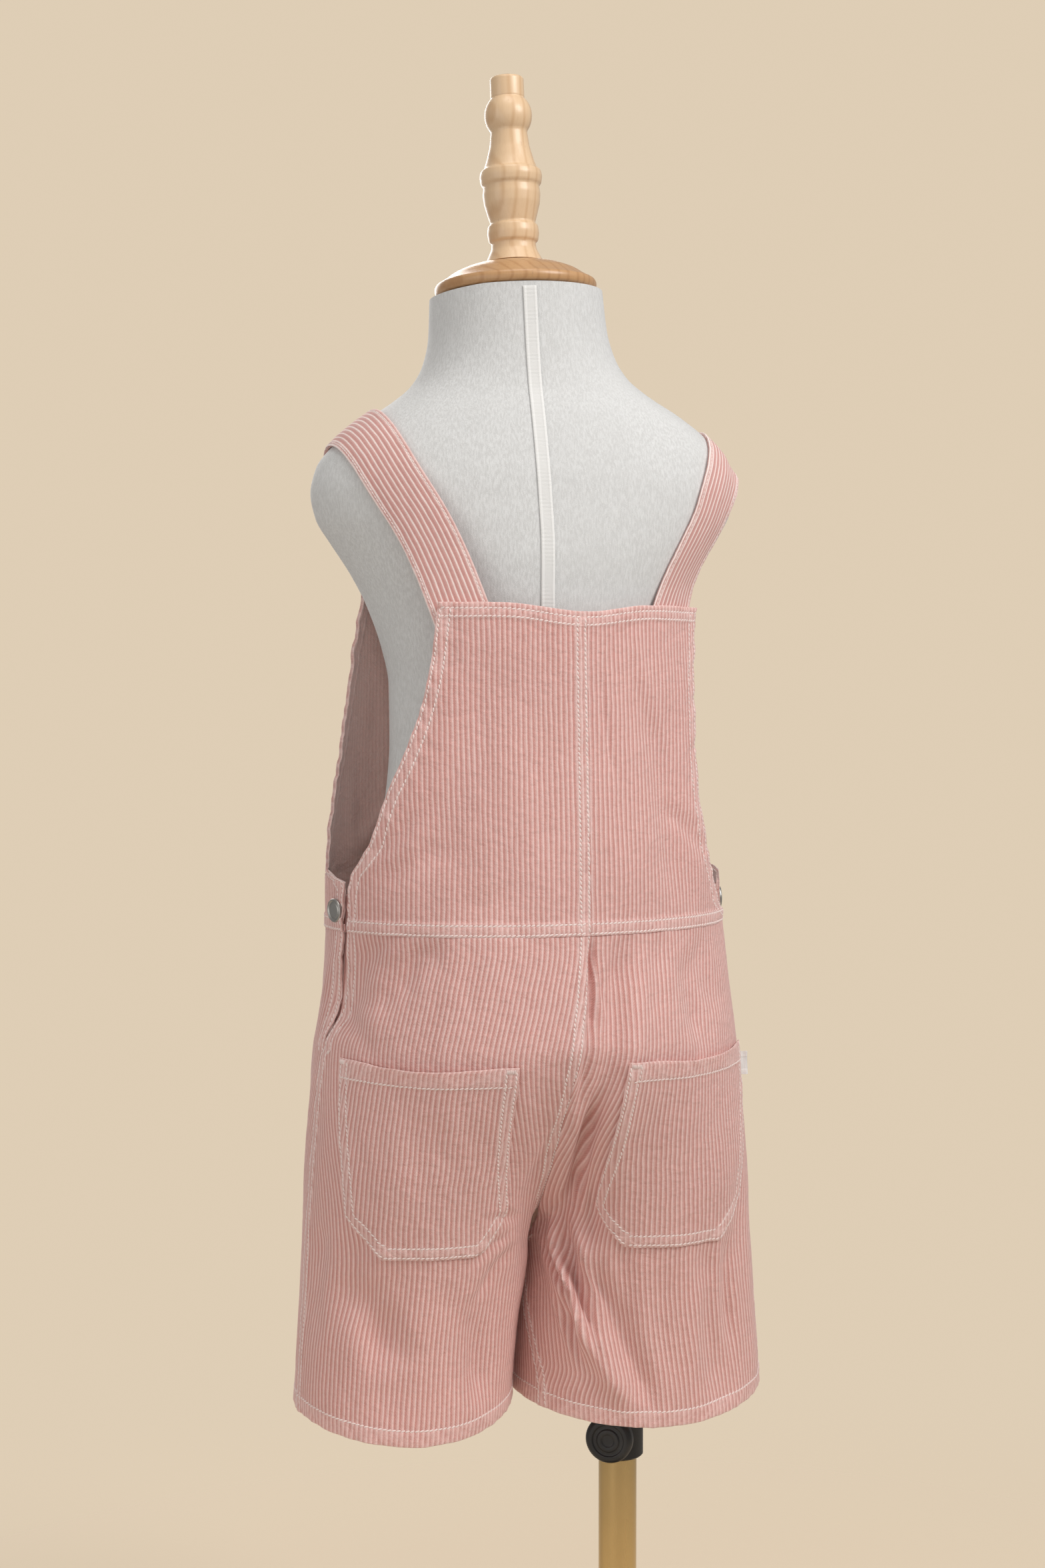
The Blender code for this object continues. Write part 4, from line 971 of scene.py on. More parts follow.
def over_seam(edge: Edge, low: float = EVERYWHERE[0], high: float = EVERYWHERE[1]) -> EdgeWork:
    """A flat-felled seam's upper side, with twin-needle rows."""
    return EdgeWork(edge, low, high, 0.0078, 0.0007, 0.0, 0.00022, (0.0014, 0.0066), 0.0032)


def under_seam(edge: Edge, low: float = EVERYWHERE[0], high: float = EVERYWHERE[1]) -> EdgeWork:
    """A seam's lower side, tucked under its neighbour."""
    return EdgeWork(edge, low, high, 0.0022, -0.0016, 0.0, 0.00016, (), 0.0016)


def turned_edge(edge: Edge, low: float, high: float, rows: tuple) -> EdgeWork:
    """A turned and stitched free edge."""
    return EdgeWork(edge, low, high, 0.0094, 0.0003, 0.0008, 0.00055, rows)


def sheet_faces(rows: int, columns: int) -> Array:
    """A closed sheet's quads: a grid's, a second grid's turned round, and a rim that joins their edges.

    Args:
        rows: Rows of points in each grid.
        columns: Points in each row.

    Returns:
        Four point numbers for each quad, where the second grid's points follow the first's.
    """
    index = np.arange(rows * columns).reshape(rows, columns)
    front = np.stack([index[:-1, :-1], index[:-1, 1:], index[1:, 1:], index[1:, :-1]], axis=-1).reshape(-1, 4)
    rim = np.concatenate([index[0, :-1], index[:-1, -1], index[-1, :0:-1], index[:0:-1, 0]])
    after = np.roll(rim, -1)
    side = np.stack([after, rim, rim + rows * columns, after + rows * columns], axis=-1)
    return np.concatenate([front, front[:, ::-1] + rows * columns, side])


def read_rows(table: Array, rows: Array) -> Array:
    """A table of one column, read at row numbers that may have fractions."""
    return np.interp(rows, np.arange(len(table)), table[:, 0])


@dataclass
class ClothPanel:
    """One cut piece of cloth: a wall of even thickness under a surface, with its seams worked in.

    surface gives places for a place across and a height, reach the places of its two sides, and grain
    the place across that the stripes run along. The fields after grows_out are worked out: the grid's
    heights, both ends, each row's length, the close columns' distances from each side, how much each
    side's slant stretches them, the even columns between, and every grid point's distance, place across,
    place beside the grain, position, normal, extra wall and wear.
    """

    name: str
    surface: Surface
    reach: Reach
    low: float
    high: float
    works: tuple
    grain: float
    finish: TwillFinish = PINK_TWILL
    slot: str = "striped_twill"
    wall: float = CLOTH
    spacing: float = 0.0018
    unrest: float = 1.0
    seed: int = 1
    held: str = "hung"
    rests_on: tuple = ("form_torso",)
    creased: bool = True
    axis: tuple = (0.0, 0.0)
    grows_out: bool = False
    height: Array = field(init=False, default=None)
    ends: tuple = field(init=False, default=(0.0, 0.0))
    length: Array = field(init=False, default=None)
    near: dict = field(init=False, default_factory=dict)
    slant: dict = field(init=False, default_factory=dict)
    between: int = field(init=False, default=3)
    distance: Array = field(init=False, default=None)
    place: Array = field(init=False, default=None)
    across: Array = field(init=False, default=None)
    points: Array = field(init=False, default=None)
    normals: Array = field(init=False, default=None)
    extra: Array = field(init=False, default=None)
    wear: Array = field(init=False, default=None)

    def lines(self, edge: Edge) -> Array:
        """The grid lines' distances from an edge: its works' steps and even ones, 0.25 mm apart or more."""
        marks = [work.steps() for work in self.works if work.edge is edge]
        near = np.unique(np.concatenate(marks + [np.array([0.0, 0.0005, 0.001])]).round(5))
        near = np.unique(np.concatenate([near, np.arange(0.0, near[-1], 0.0012)]).round(5))
        near = near[near >= 0]
        return near[np.concatenate([[True], np.diff(near) > 0.00025])]

    def fix_rows(self) -> None:
        """Sets the rows' heights: close near the top and bottom edges, even between, past both by their
        overlaps."""
        top, bottom = self.lines(Edge.TOP), self.lines(Edge.BOTTOM)
        high = self.high + sum(work.overlap for work in self.works if work.edge is Edge.TOP)
        low = self.low - sum(work.overlap for work in self.works if work.edge is Edge.BOTTOM)
        count = max(int((high - low) / self.spacing), 4)
        middle = np.linspace(high - top[-1], low + bottom[-1], count)[1:-1]
        self.height = np.concatenate([high - top, middle, (low + bottom)[::-1]])[:, None]
        self.ends = (low, high)

    def fix_columns(self) -> None:
        """Sets the columns' distances along the smooth surface: close near both sides and even between."""
        start, end = self.reach(self.height)
        share = np.linspace(0.0, 1.0, MEASURED_STEPS)[None, :]
        pace = (end - start) / self.run_along(start + (end - start) * share)[:, -1:]
        start = start - pace * self.overlap_at(Edge.START)
        end = end + pace * self.overlap_at(Edge.END)
        place = start + (end - start) * share
        run = self.run_along(place)
        self.length = run[:, -1:]
        grain_run = np.array([np.interp(self.grain, p, r) for p, r in zip(place, run)])[:, None]
        room = 0.42 * float(self.length.min())
        for edge, line in ((Edge.START, -grain_run), (Edge.END, self.length - grain_run)):
            self.slant[edge] = self.slant_of(line)
            near = self.lines(edge)
            self.near[edge] = near[near * self.slant[edge].max() < room]
        first, last = (self.near[edge] * self.slant[edge] for edge in (Edge.START, Edge.END))
        last = self.length - last[:, ::-1]
        close = self.near[Edge.START][-1] + self.near[Edge.END][-1]
        self.between = max(int((float(self.length.mean()) - close) / self.spacing), 3)
        share = np.linspace(0.0, 1.0, self.between + 1)[None, 1:-1]
        even = first[:, -1:] + (last[:, :1] - first[:, -1:]) * share
        self.distance = np.concatenate([first, even, last], axis=1)
        self.place = np.array([np.interp(d, r, p) for d, r, p in zip(self.distance, run, place)])
        self.across = self.distance - grain_run

    def slant_of(self, line: Array) -> Array:
        """An edge's length over its height at each row, at most STEEPEST_SLANT: the root of one plus the
        square of its line's slope."""
        slope = np.gradient(smoothed(line[:, 0], 3), self.height[:, 0])
        return np.minimum(np.hypot(1.0, slope), STEEPEST_SLANT)[:, None]

    def run_along(self, place: Array) -> Array:
        """The running length along each row: the sum of the steps between neighbouring places."""
        points = self.surface(place, np.broadcast_to(self.height, place.shape))
        step = np.linalg.norm(np.diff(points, axis=1), axis=-1)
        return np.concatenate([np.zeros((len(step), 1)), np.cumsum(step, axis=1)], axis=1)

    def overlap_at(self, edge: Edge) -> Array:
        """How far the cloth runs on past a side seam at each row, a little unevenly."""
        total = 0 * self.height
        for work in self.works:
            if work.edge is edge:
                uneven = EDGE_STRAY.at(self.seed * 3, self.height, 0.5) * (work.overlap > 0)
                total = total + (work.overlap + uneven) * work.weight(self.height)
        return total

    def gap_to(self, edge: Edge) -> Array:
        """Each grid point's distance from an edge."""
        gaps = {Edge.START: lambda: self.distance / self.slant[edge],
                Edge.END: lambda: (self.length - self.distance) / self.slant[edge],
                Edge.TOP: lambda: self.ends[1] - self.height + 0 * self.distance,
                Edge.BOTTOM: lambda: self.height - self.ends[0] + 0 * self.distance}
        return gaps[edge]()

    def work_edge(self, number: int, work: EdgeWork, points: Array) -> Array:
        """One edge's relief: its band's lift, its puckers, the ridges of a seam and the stitches' furrows.

        Its extra wall and its wear are added to the panel's, and a top or bottom edge is waved up and
        down as well.

        Args:
            number: The work's place in the list, which seeds its waves.
            work: The work.
            points: The smooth places, which a top or bottom edge moves.

        Returns:
            How far each grid point moves out.
        """
        gap = self.gap_to(work.edge)
        side = work.edge in (Edge.START, Edge.END)
        weight = work.weight(self.height) if side else 1.0
        along = self.height if side else self.across
        flat = 1 - ease(gap, work.band - 0.0007, work.band + 0.0005)
        ripple = SEAM_RIPPLE.at(self.seed * 9 + number, along, 0.5)
        waves = SEAM_WAVE.at(self.seed * 7 + number, along, gap) + ripple
        move = weight * (work.lift * flat + work.pucker * waves * np.exp(-gap / 0.009))
        if not side:
            points[..., 2] += 1.2 * work.pucker * ripple * np.exp(-gap / 0.004)
        self.extra += weight * work.wall * flat
        for row in work.rows:
            move = move - weight * 0.0003 * np.exp(-(((gap - row) / 0.0007) ** 2))
        if work.rows:
            ridge = SEAM_ROPE.at(self.seed * 5 + number, along, gap)
            self.wear += weight * (0.2 + 0.8 * ease(0.5 + ridge, 0.25, 0.75)) * flat * 0.8
            move = move + weight * 0.00022 * ridge * flat
        self.wear += weight * 0.8 * np.exp(-gap / 0.0007) * (work.lift >= 0)
        return move

    def drape(self) -> None:
        """Moves the surface along its normals by its creases, its unrest and the work on its edges, and
        rounds every edge by 0.45 mm."""
        height = np.broadcast_to(self.height, self.place.shape)
        points = self.surface(self.place, height)
        outward = points.reshape(-1, 3).mean(axis=0) * np.array([1.0, 1.0, 0.0]) - np.array([*self.axis, 0.0])
        normals = grid_normals(points, outward)
        calm = np.ones(self.place.shape)
        move, self.extra, self.wear = (np.zeros(self.place.shape) for _ in range(3))
        if self.creased:
            move -= Creases().depth_at(points, normals)
        for edge in Edge:
            calm *= 1 - 0.75 * np.exp(-((self.gap_to(edge) / 0.011) ** 2))
            move -= 0.00045 * np.exp(-self.gap_to(edge) / 0.00035)
        move += self.unrest * calm * sum(swell.at(self.seed, self.across, height) for swell in UNREST)
        for number, work in enumerate(self.works):
            move += self.work_edge(number, work, points)
        if self.grows_out:
            move += self.wall
        self.points = points + normals * move[..., None]
        self.normals = grid_normals(self.points, outward)

    def build(self) -> Piece:
        """Makes the panel's piece: its outer face, its inner face, their rims and its weave."""
        self.fix_rows()
        self.fix_columns()
        self.drape()
        wall = self.wall + self.extra
        for edge in Edge:
            wall = wall - 0.00035 * np.exp(-self.gap_to(edge) / 0.00035)
        inner = self.points - self.normals * wall[..., None]
        faces = sheet_faces(*self.place.shape)
        normal = np.cross(self.points[0, 1] - self.points[0, 0], self.points[1, 0] - self.points[0, 0])
        if normal @ self.normals[0, 0] < 0:
            faces = faces[:, ::-1]
        points = np.concatenate([self.points.reshape(-1, 3), inner.reshape(-1, 3)]) + GARMENT_ORIGIN
        piece = new_piece(self.name + "_cloth", points, faces.tolist(), self.finish, Body.FORM,
                          (self.name,), 75.0)
        weave = np.stack([self.across, np.broadcast_to(self.height, self.across.shape)], axis=-1)
        store_weave(piece, np.concatenate([weave, weave]))
        store_on_points(piece, "wear", np.clip(np.concatenate([self.wear, 0 * self.wear]), 0.0, 1.0))
        store_on_points(piece, "inside", np.concatenate([0 * self.wear, 1 + 0 * self.wear]))
        self.declare()
        return piece

    def declare(self) -> None:
        """Works out the smooth surface at the grid's places, and does nothing more with it.
        """
        smooth = self.surface(self.place, np.broadcast_to(self.height, self.place.shape))

    def row_at(self, height: Array) -> Array:
        """The row numbers, with fractions, at which heights lie."""
        return np.interp(-height, -self.height[:, 0], np.arange(len(self.height)))

    def sample(self, distance: Array, height: Array) -> tuple:
        """The finished outer face at any distance from the start edge and height.

        Args:
            distance: Distances along the cloth from the start edge.
            height: Heights.

        Returns:
            Places and unit normals, each blended from the four nearest grid points.
        """
        row = self.row_at(height)
        length = read_rows(self.length, row)
        first, last = self.near[Edge.START], self.near[Edge.END]
        first_slant, last_slant = (read_rows(self.slant[edge], row) for edge in (Edge.START, Edge.END))
        end = self.distance.shape[1] - 1
        low = np.interp(distance / first_slant, first, np.arange(len(first)))
        high = end - np.interp((length - distance) / last_slant, last, np.arange(len(last)))
        begin = first[-1] * first_slant
        finish = length - last[-1] * last_slant
        inside = len(first) - 1 + (distance - begin) / (finish - begin) * self.between
        column = np.where(distance < begin, low, np.where(distance > finish, high, inside))
        column = np.clip(column, 0, end - 1e-6)
        row = np.clip(row, 0, len(self.height) - 1 - 1e-6)
        i, j = row.astype(int), column.astype(int)
        a, b = (row - i)[..., None], (column - j)[..., None]
        upper, lower = ([g[k, j] * (1 - b) + g[k, j + 1] * b for g in (self.points, self.normals)]
                        for k in (i, i + 1))
        place, normal = (high * (1 - a) + low * a for high, low in zip(upper, lower))
        return place, unit(normal)

    def distance_of(self, place: Array, height: Array) -> Array:
        """The distance from the start edge at which a place across lies, at each height."""
        rows = self.row_at(height)
        i = np.clip(rows.astype(int), 0, len(self.height) - 2)
        low, high = (np.array([np.interp(p, self.place[k], self.distance[k]) for p, k in zip(place, row)])
                     for row in (i, i + 1))
        return low * (1 - (rows - i)) + high * (rows - i)

    def stitch_paths(self) -> list:
        """The stitch rows on this panel: (places, normals) along each work's rows, clipped to its heights."""
        paths = []
        low, high = self.ends
        for work, row in ((work, row) for work in self.works for row in work.rows):
            if work.edge in (Edge.START, Edge.END):
                height = np.arange(max(work.low, low) + 0.002, min(work.high, high) - 0.0012, STITCH_STEP)
                height = height[(height > low + 0.001) & (height < high - 0.001)]
                rows = self.row_at(height)
                distance = row * read_rows(self.slant[work.edge], rows)
                if work.edge is Edge.END:
                    distance = read_rows(self.length, rows) - distance
            else:
                level = high - row if work.edge is Edge.TOP else low + row
                distance = np.arange(0.0018, read_rows(self.length, self.row_at(level)) - 0.0018, STITCH_STEP)
                height = np.full_like(distance, level)
            if len(distance) > 4:
                paths.append(self.sample(distance, height))
        return paths


# ---------------------------------------------------------------- sewing
@dataclass(frozen=True)
class Stitching:
    """Rows of thread stitches: short rounded bars lying along a path, their ends sunk in the cloth."""

    pitch: float = 0.0029
    length: float = 0.0029
    width: float = 0.0011
    rise: float = 0.00066
    slant: float = 19.0
    sunk: float = 0.55
    stations: tuple = (-0.5, -0.36, 0.0, 0.36, 0.5)
    sides: int = 6

    def along(self, path: Array, normals: Array, seed: int) -> tuple:
        """Stitch centres, directions and normals at equal steps along one path.

        Args:
            path: The path's places.
            normals: The cloth's normals there.
            seed: Fixes the small unevenness.

        Returns:
            Three arrays, a row for each stitch.
        """
        run = np.concatenate([[0.0], np.cumsum(np.linalg.norm(np.diff(path, axis=0), axis=1))])
        count = max(int(run[-1] / self.pitch), 1)
        chance = np.random.default_rng(seed)
        middle = (np.arange(count) + 0.5) * self.pitch + chance.uniform(-0.0001, 0.0001, count)
        ahead = middle + self.length / 2
        behind = middle - self.length / 2
        at = [np.stack([np.interp(where, run, path[:, k]) for k in range(3)], axis=-1)
              for where in (behind, middle, ahead)]
        up = unit(np.stack([np.interp(middle, run, normals[:, k]) for k in range(3)], axis=-1))
        way = unit(at[2] - at[0])
        aside = np.cross(up, way)
        turn = np.radians(self.slant + chance.normal(0.0, 3.0, count))[:, None]
        return at[1], unit(way * np.cos(turn) + aside * np.sin(turn)), up

    def mesh(self, paths: list, seed: int) -> tuple:
        """All the stitches of some paths: at each station along a bar a ring whose half width is scaled
        by the root of one less the station's square, flattened towards the cloth.

        Args:
            paths: (places, normals) for each row.
            seed: Fixes the small unevenness.

        Returns:
            Points and faces.
        """
        parts = [self.along(path, normals, seed + k) for k, (path, normals) in enumerate(paths)]
        centre, way, up = (np.concatenate([part[k] for part in parts]) for k in range(3))
        aside = np.cross(up, way)
        station = np.array(self.stations)
        swell = np.sqrt(np.maximum(1.0 - (station * 1.9) ** 2, 0.06))
        angle = np.linspace(0.0, 2 * math.pi, self.sides, endpoint=False)
        beside = np.cos(angle)[None, :] * swell[:, None] * self.width / 2
        above = (np.sin(angle)[None, :] * swell[:, None] + swell[:, None] - self.sunk) * self.rise / 2
        centre, way, aside, up = (part[:, None, None] for part in (centre, way, aside, up))
        points = (centre + way * (station * self.length)[None, :, None, None]
                  + aside * beside[None, ..., None] + up * above[None, ..., None])
        ring = np.arange(len(station) * self.sides).reshape(len(station), self.sides)
        beyond = np.roll(ring, -1, axis=1)
        bar = np.stack([ring[:-1], beyond[:-1], beyond[1:], ring[1:]], axis=-1).reshape(-1, 4)
        offset = (np.arange(len(centre)) * ring.size)[:, None, None]
        faces = (bar[None] + offset).reshape(-1, 4).tolist()
        faces += (ring[0, ::-1][None] + offset[:, 0]).tolist() + (ring[-1][None] + offset[:, 0]).tolist()
        return points, faces

    def sew(self, name: str, paths: list, seed: int) -> Piece:
        """Makes one piece of all the stitches of some paths, in the frame's axes.

        Args:
            name: The piece's name.
            paths: (places, normals) for each row.
            seed: Fixes the small unevenness.

        Returns:
            The piece.
        """
        points, faces = self.mesh(paths, seed)
        points = points.reshape(-1, 3) + GARMENT_ORIGIN
        return new_piece(name, points, faces, THREAD, Body.FORM, (), 80.0)


BIB_HEM = EdgeWork(Edge.TOP, band=0.0096, lift=0.0005, wall=0.0009, pucker=0.0003, rows=(0.0036, 0.0084))
WAIST_SEAM = EdgeWork(Edge.BOTTOM, band=0.0088, lift=0.0007, wall=0.0002, pucker=0.00025,
                      rows=(0.0013, 0.0072), overlap=0.0018)
LEG_TOP = EdgeWork(Edge.TOP, band=0.0045, lift=-0.0014, pucker=0.0003, overlap=0.003)
LEG_HEM = EdgeWork(Edge.BOTTOM, band=0.0104, lift=0.0003, wall=0.0009, pucker=0.00042, rows=(0.0098,))
SHORT_OF_SEAM = 0.0008       # the share of a quarter that a panel stops short of the middle


@dataclass
class DungareeShorts:
    """The garment: bibs, legs, pockets and side facings, with their sewing."""

    form: GarmentForm = field(default_factory=GarmentForm)
    pocket_top: float = 0.231
    pocket_height: float = 0.123
    pocket_corner: float = 0.026
    pocket_outer: float = 0.235
    pocket_inner: float = 0.838
    pocket_inner_foot: float = 0.745
    pocket_gap: float = 0.0004
    pocket_gape: float = 0.0034
    pocket_sag: float = 0.003
    pocket_hem: float = 0.012
    pocket_rows: tuple = (0.0016, 0.0076)
    tack_half: float = 0.003
    tack_drop: float = 0.0024
    bib_sag: float = 0.005
    sag_start: float = 0.43
    between_straps: tuple = (-0.062, 0.042)
    armhole_rows: tuple = (0.0018, 0.008)
    opening_rows: tuple = (0.002, 0.0076)
    facing_half_angle: float = 0.085
    facing_inset: float = 0.972
    panels: dict = field(default_factory=dict)

    def leg(self, side: Side, face: Face) -> ClothPanel:
        """A back or front leg, from the waist seam to the hem and the side seam to the seat or inseam.

        Args:
            side: The wearer's left or right.
            face: Its back or front.

        Returns:
            The panel, not yet built.
        """
        back = face is Face.BACK
        upper = over_seam if side is Side.LEFT else under_seam
        lower = over_seam if back else under_seam
        works = (LEG_TOP, LEG_HEM, lower(Edge.START, high=OPENING_BOTTOM + 0.003),
                 turned_edge(Edge.START, OPENING_BOTTOM - 0.003, EVERYWHERE[1], self.opening_rows),
                 upper(Edge.END, CROTCH + 0.002), lower(Edge.END, high=CROTCH + 0.01))
        return ClothPanel(f"{face.name.lower()}_leg_{side.name.lower()}",
                          lambda across, height: self.form.leg(across, height, side, face),
                          lambda height: (face.value * side_seam(height) + opening_pull(height),
                                          1.0 - SHORT_OF_SEAM + 0 * height), 0.0, WAIST, works, 0.5,
                          spacing=0.0017 if back else 0.0027, seed=11 + 3 * side.value + 5 * face.value)

    def back_bib(self, side: Side) -> ClothPanel:
        """Half of the back bib, from its armhole edge to the centre-back seam.

        Args:
            side: The wearer's left or right.

        Returns:
            The panel, not yet built.
        """
        seam = over_seam if side is Side.LEFT else under_seam
        works = (BIB_HEM, WAIST_SEAM,
                 turned_edge(Edge.START, WAIST, EVERYWHERE[1], self.armhole_rows), seam(Edge.END))
        return ClothPanel(f"back_bib_{side.name.lower()}", self.bib_surface(side),
                          lambda height: (self.form.bib_edge(height, self.form.back_bib, side),
                                          math.pi / 2 * (1 - SHORT_OF_SEAM) + 0 * height),
                          WAIST, BACK_BIB_TOP, works, math.pi / 2, spacing=0.0017, seed=31 + side.value)

    def bib_surface(self, side: Side) -> Surface:
        """The back of the body, with angles counted from a side, its top sagging between the straps."""
        def surface(angle: Array, height: Array) -> Array:
            """Lowered by the sag times a bump between the straps, eased in towards the top."""
            points = self.form.body(angle if side is Side.LEFT else math.pi - angle, height)
            between = bump(points[..., 0], *self.between_straps)
            points[..., 2] -= self.bib_sag * between * ease(height, self.sag_start, BACK_BIB_TOP)
            return points

        return surface

    def front_bib(self) -> ClothPanel:
        """The front bib, cut whole, from one armhole edge to the other."""
        works = (BIB_HEM, WAIST_SEAM, turned_edge(Edge.START, WAIST, EVERYWHERE[1], self.armhole_rows),
                 turned_edge(Edge.END, WAIST, EVERYWHERE[1], self.armhole_rows))
        return ClothPanel("front_bib", lambda angle, height: self.form.body(-angle, height),
                          lambda height: (self.form.front_edge(height, Side.LEFT),
                                          math.pi - self.form.front_edge(height, Side.RIGHT)),
                          WAIST, FRONT_BIB_TOP, works, math.pi / 2, spacing=0.0023, seed=41)

    def pocket(self, side: Side) -> ClothPanel:
        """A patch pocket: the back leg's finished face, moved out, with its bottom corners cut off.

        Args:
            side: The wearer's left or right.

        Returns:
            The panel, not yet built.
        """
        leg = self.panels[f"back_leg_{side.name.lower()}"]
        foot = self.pocket_top - self.pocket_height

        def reach(height: Array) -> tuple:
            """The pocket's two sides at each height, as distances along the leg's cloth."""
            flat = height[:, 0]
            taper = ease(flat, foot, self.pocket_top)
            inner = self.pocket_inner_foot + (self.pocket_inner - self.pocket_inner_foot) * taper
            cut = np.clip(1 - (flat - foot) / self.pocket_corner, 0.0, 1.0) ** 1.12 * self.pocket_corner
            low = leg.distance_of(np.full(len(flat), self.pocket_outer), flat) + cut
            high = leg.distance_of(inner, flat) - cut
            return low[:, None], high[:, None]

        def surface(distance: Array, height: Array) -> Array:
            """The leg's face moved out, more at the pocket's mouth, where it stands open a little."""
            points, normals = leg.sample(distance, height)
            low, high = reach(height[:, :1])
            mouth = bump(distance, low, high) * np.exp(-(self.pocket_top - height) / 0.012)
            down = np.array([0.0, 0.0, -self.pocket_sag]) * mouth[..., None]
            return points + down + normals * (self.pocket_gap + self.pocket_gape * mouth)[..., None]

        works = [EdgeWork(Edge.TOP, band=0.0128, lift=0.0004, pucker=0.00034, rows=(self.pocket_hem,))]
        works += [EdgeWork(edge, band=0.0088, lift=0.0002, pucker=0.00022, rows=self.pocket_rows)
                  for edge in (Edge.BOTTOM, Edge.START, Edge.END)]
        middle = float(reach(np.array([[self.pocket_top]]))[0][0, 0]) + 0.055
        return ClothPanel(f"pocket_{side.name.lower()}", surface, reach, foot, self.pocket_top, tuple(works),
                          middle, wall=0.0011, spacing=0.0016, unrest=0.35, seed=61 + side.value, held="laid",
                          rests_on=(f"back_leg_{side.name.lower()}_cloth",), creased=False, grows_out=True)

    def side_facing(self, side: Side) -> ClothPanel:
        """The strip behind a side opening: the body's surface, moved in by the turned edges' thickness."""
        def surface(angle: Array, height: Array) -> Array:
            """Places counted from the side seam, drawn in towards the garment's axis."""
            angle = angle + side_seam(height) * math.pi / 2
            points = self.form.body(angle if side is Side.LEFT else math.pi - angle, height)
            return points * np.array([self.facing_inset, self.facing_inset, 1.0])

        half = self.facing_half_angle
        return ClothPanel(f"side_facing_{side.name.lower()}", surface,
                          lambda height: (-half + 0 * height, half + 0 * height), OPENING_BOTTOM - 0.006,
                          OPENING_TOP - 0.012, (EdgeWork(Edge.TOP), EdgeWork(Edge.BOTTOM)), 0.0, wall=0.001,
                          spacing=0.0022, unrest=0.3, seed=71, creased=False,
                          rests_on=(f"back_bib_{side.name.lower()}_cloth",))

    def build(self) -> None:
        """Builds every cloth panel and sews it."""
        cuts = [self.leg(side, face) for face in Face for side in Side]
        cuts += [self.back_bib(side) for side in Side] + [self.front_bib()]
        for panel in cuts:
            self.panels[panel.name] = panel
            panel.build()
            Stitching().sew(panel.name + "_stitches", panel.stitch_paths(), panel.seed)
        for side in Side:
            self.side_facing(side).build()
            pocket = self.pocket(side)
            pocket.build()
            self.panels[pocket.name] = pocket
            self.sew_pocket(pocket)

    def sew_pocket(self, pocket: ClothPanel) -> None:
        """Sews a pocket: its rows, clipped where they meet at the corners, and a bartack at each end of
        its mouth.

        Args:
            pocket: The built pocket.
        """
        foot, top = pocket.ends
        paths = []
        for inset in self.pocket_rows:
            height = np.arange(foot + inset * 1.2, top - 0.001, STITCH_STEP)
            rows = pocket.row_at(height)
            length = read_rows(pocket.length, rows)
            near, far = (inset * read_rows(pocket.slant[edge], rows) for edge in (Edge.START, Edge.END))
            across = np.arange(near[0], length[0] - far[0], STITCH_STEP)
            paths += [pocket.sample(near, height), pocket.sample(length - far, height),
                      pocket.sample(across, np.full_like(across, foot + inset))]
        level = top - self.pocket_hem
        length = float(read_rows(pocket.length, pocket.row_at(level)))
        band = np.arange(0.002, length - 0.002, STITCH_STEP)
        paths.append(pocket.sample(band, np.full_like(band, level)))
        Stitching().sew(pocket.name + "_stitches", paths, pocket.seed)
        bars = []
        for middle in (self.tack_half, length - self.tack_half):
            across = np.linspace(middle - self.tack_half, middle + self.tack_half, 8)
            bars.append(pocket.sample(across, np.full_like(across, top - self.tack_drop)))
        tack = Stitching(pitch=0.00062, length=0.003, width=0.0006, rise=0.0006, slant=90.0)
        tack.sew(pocket.name + "_bartacks", bars, pocket.seed + 3)


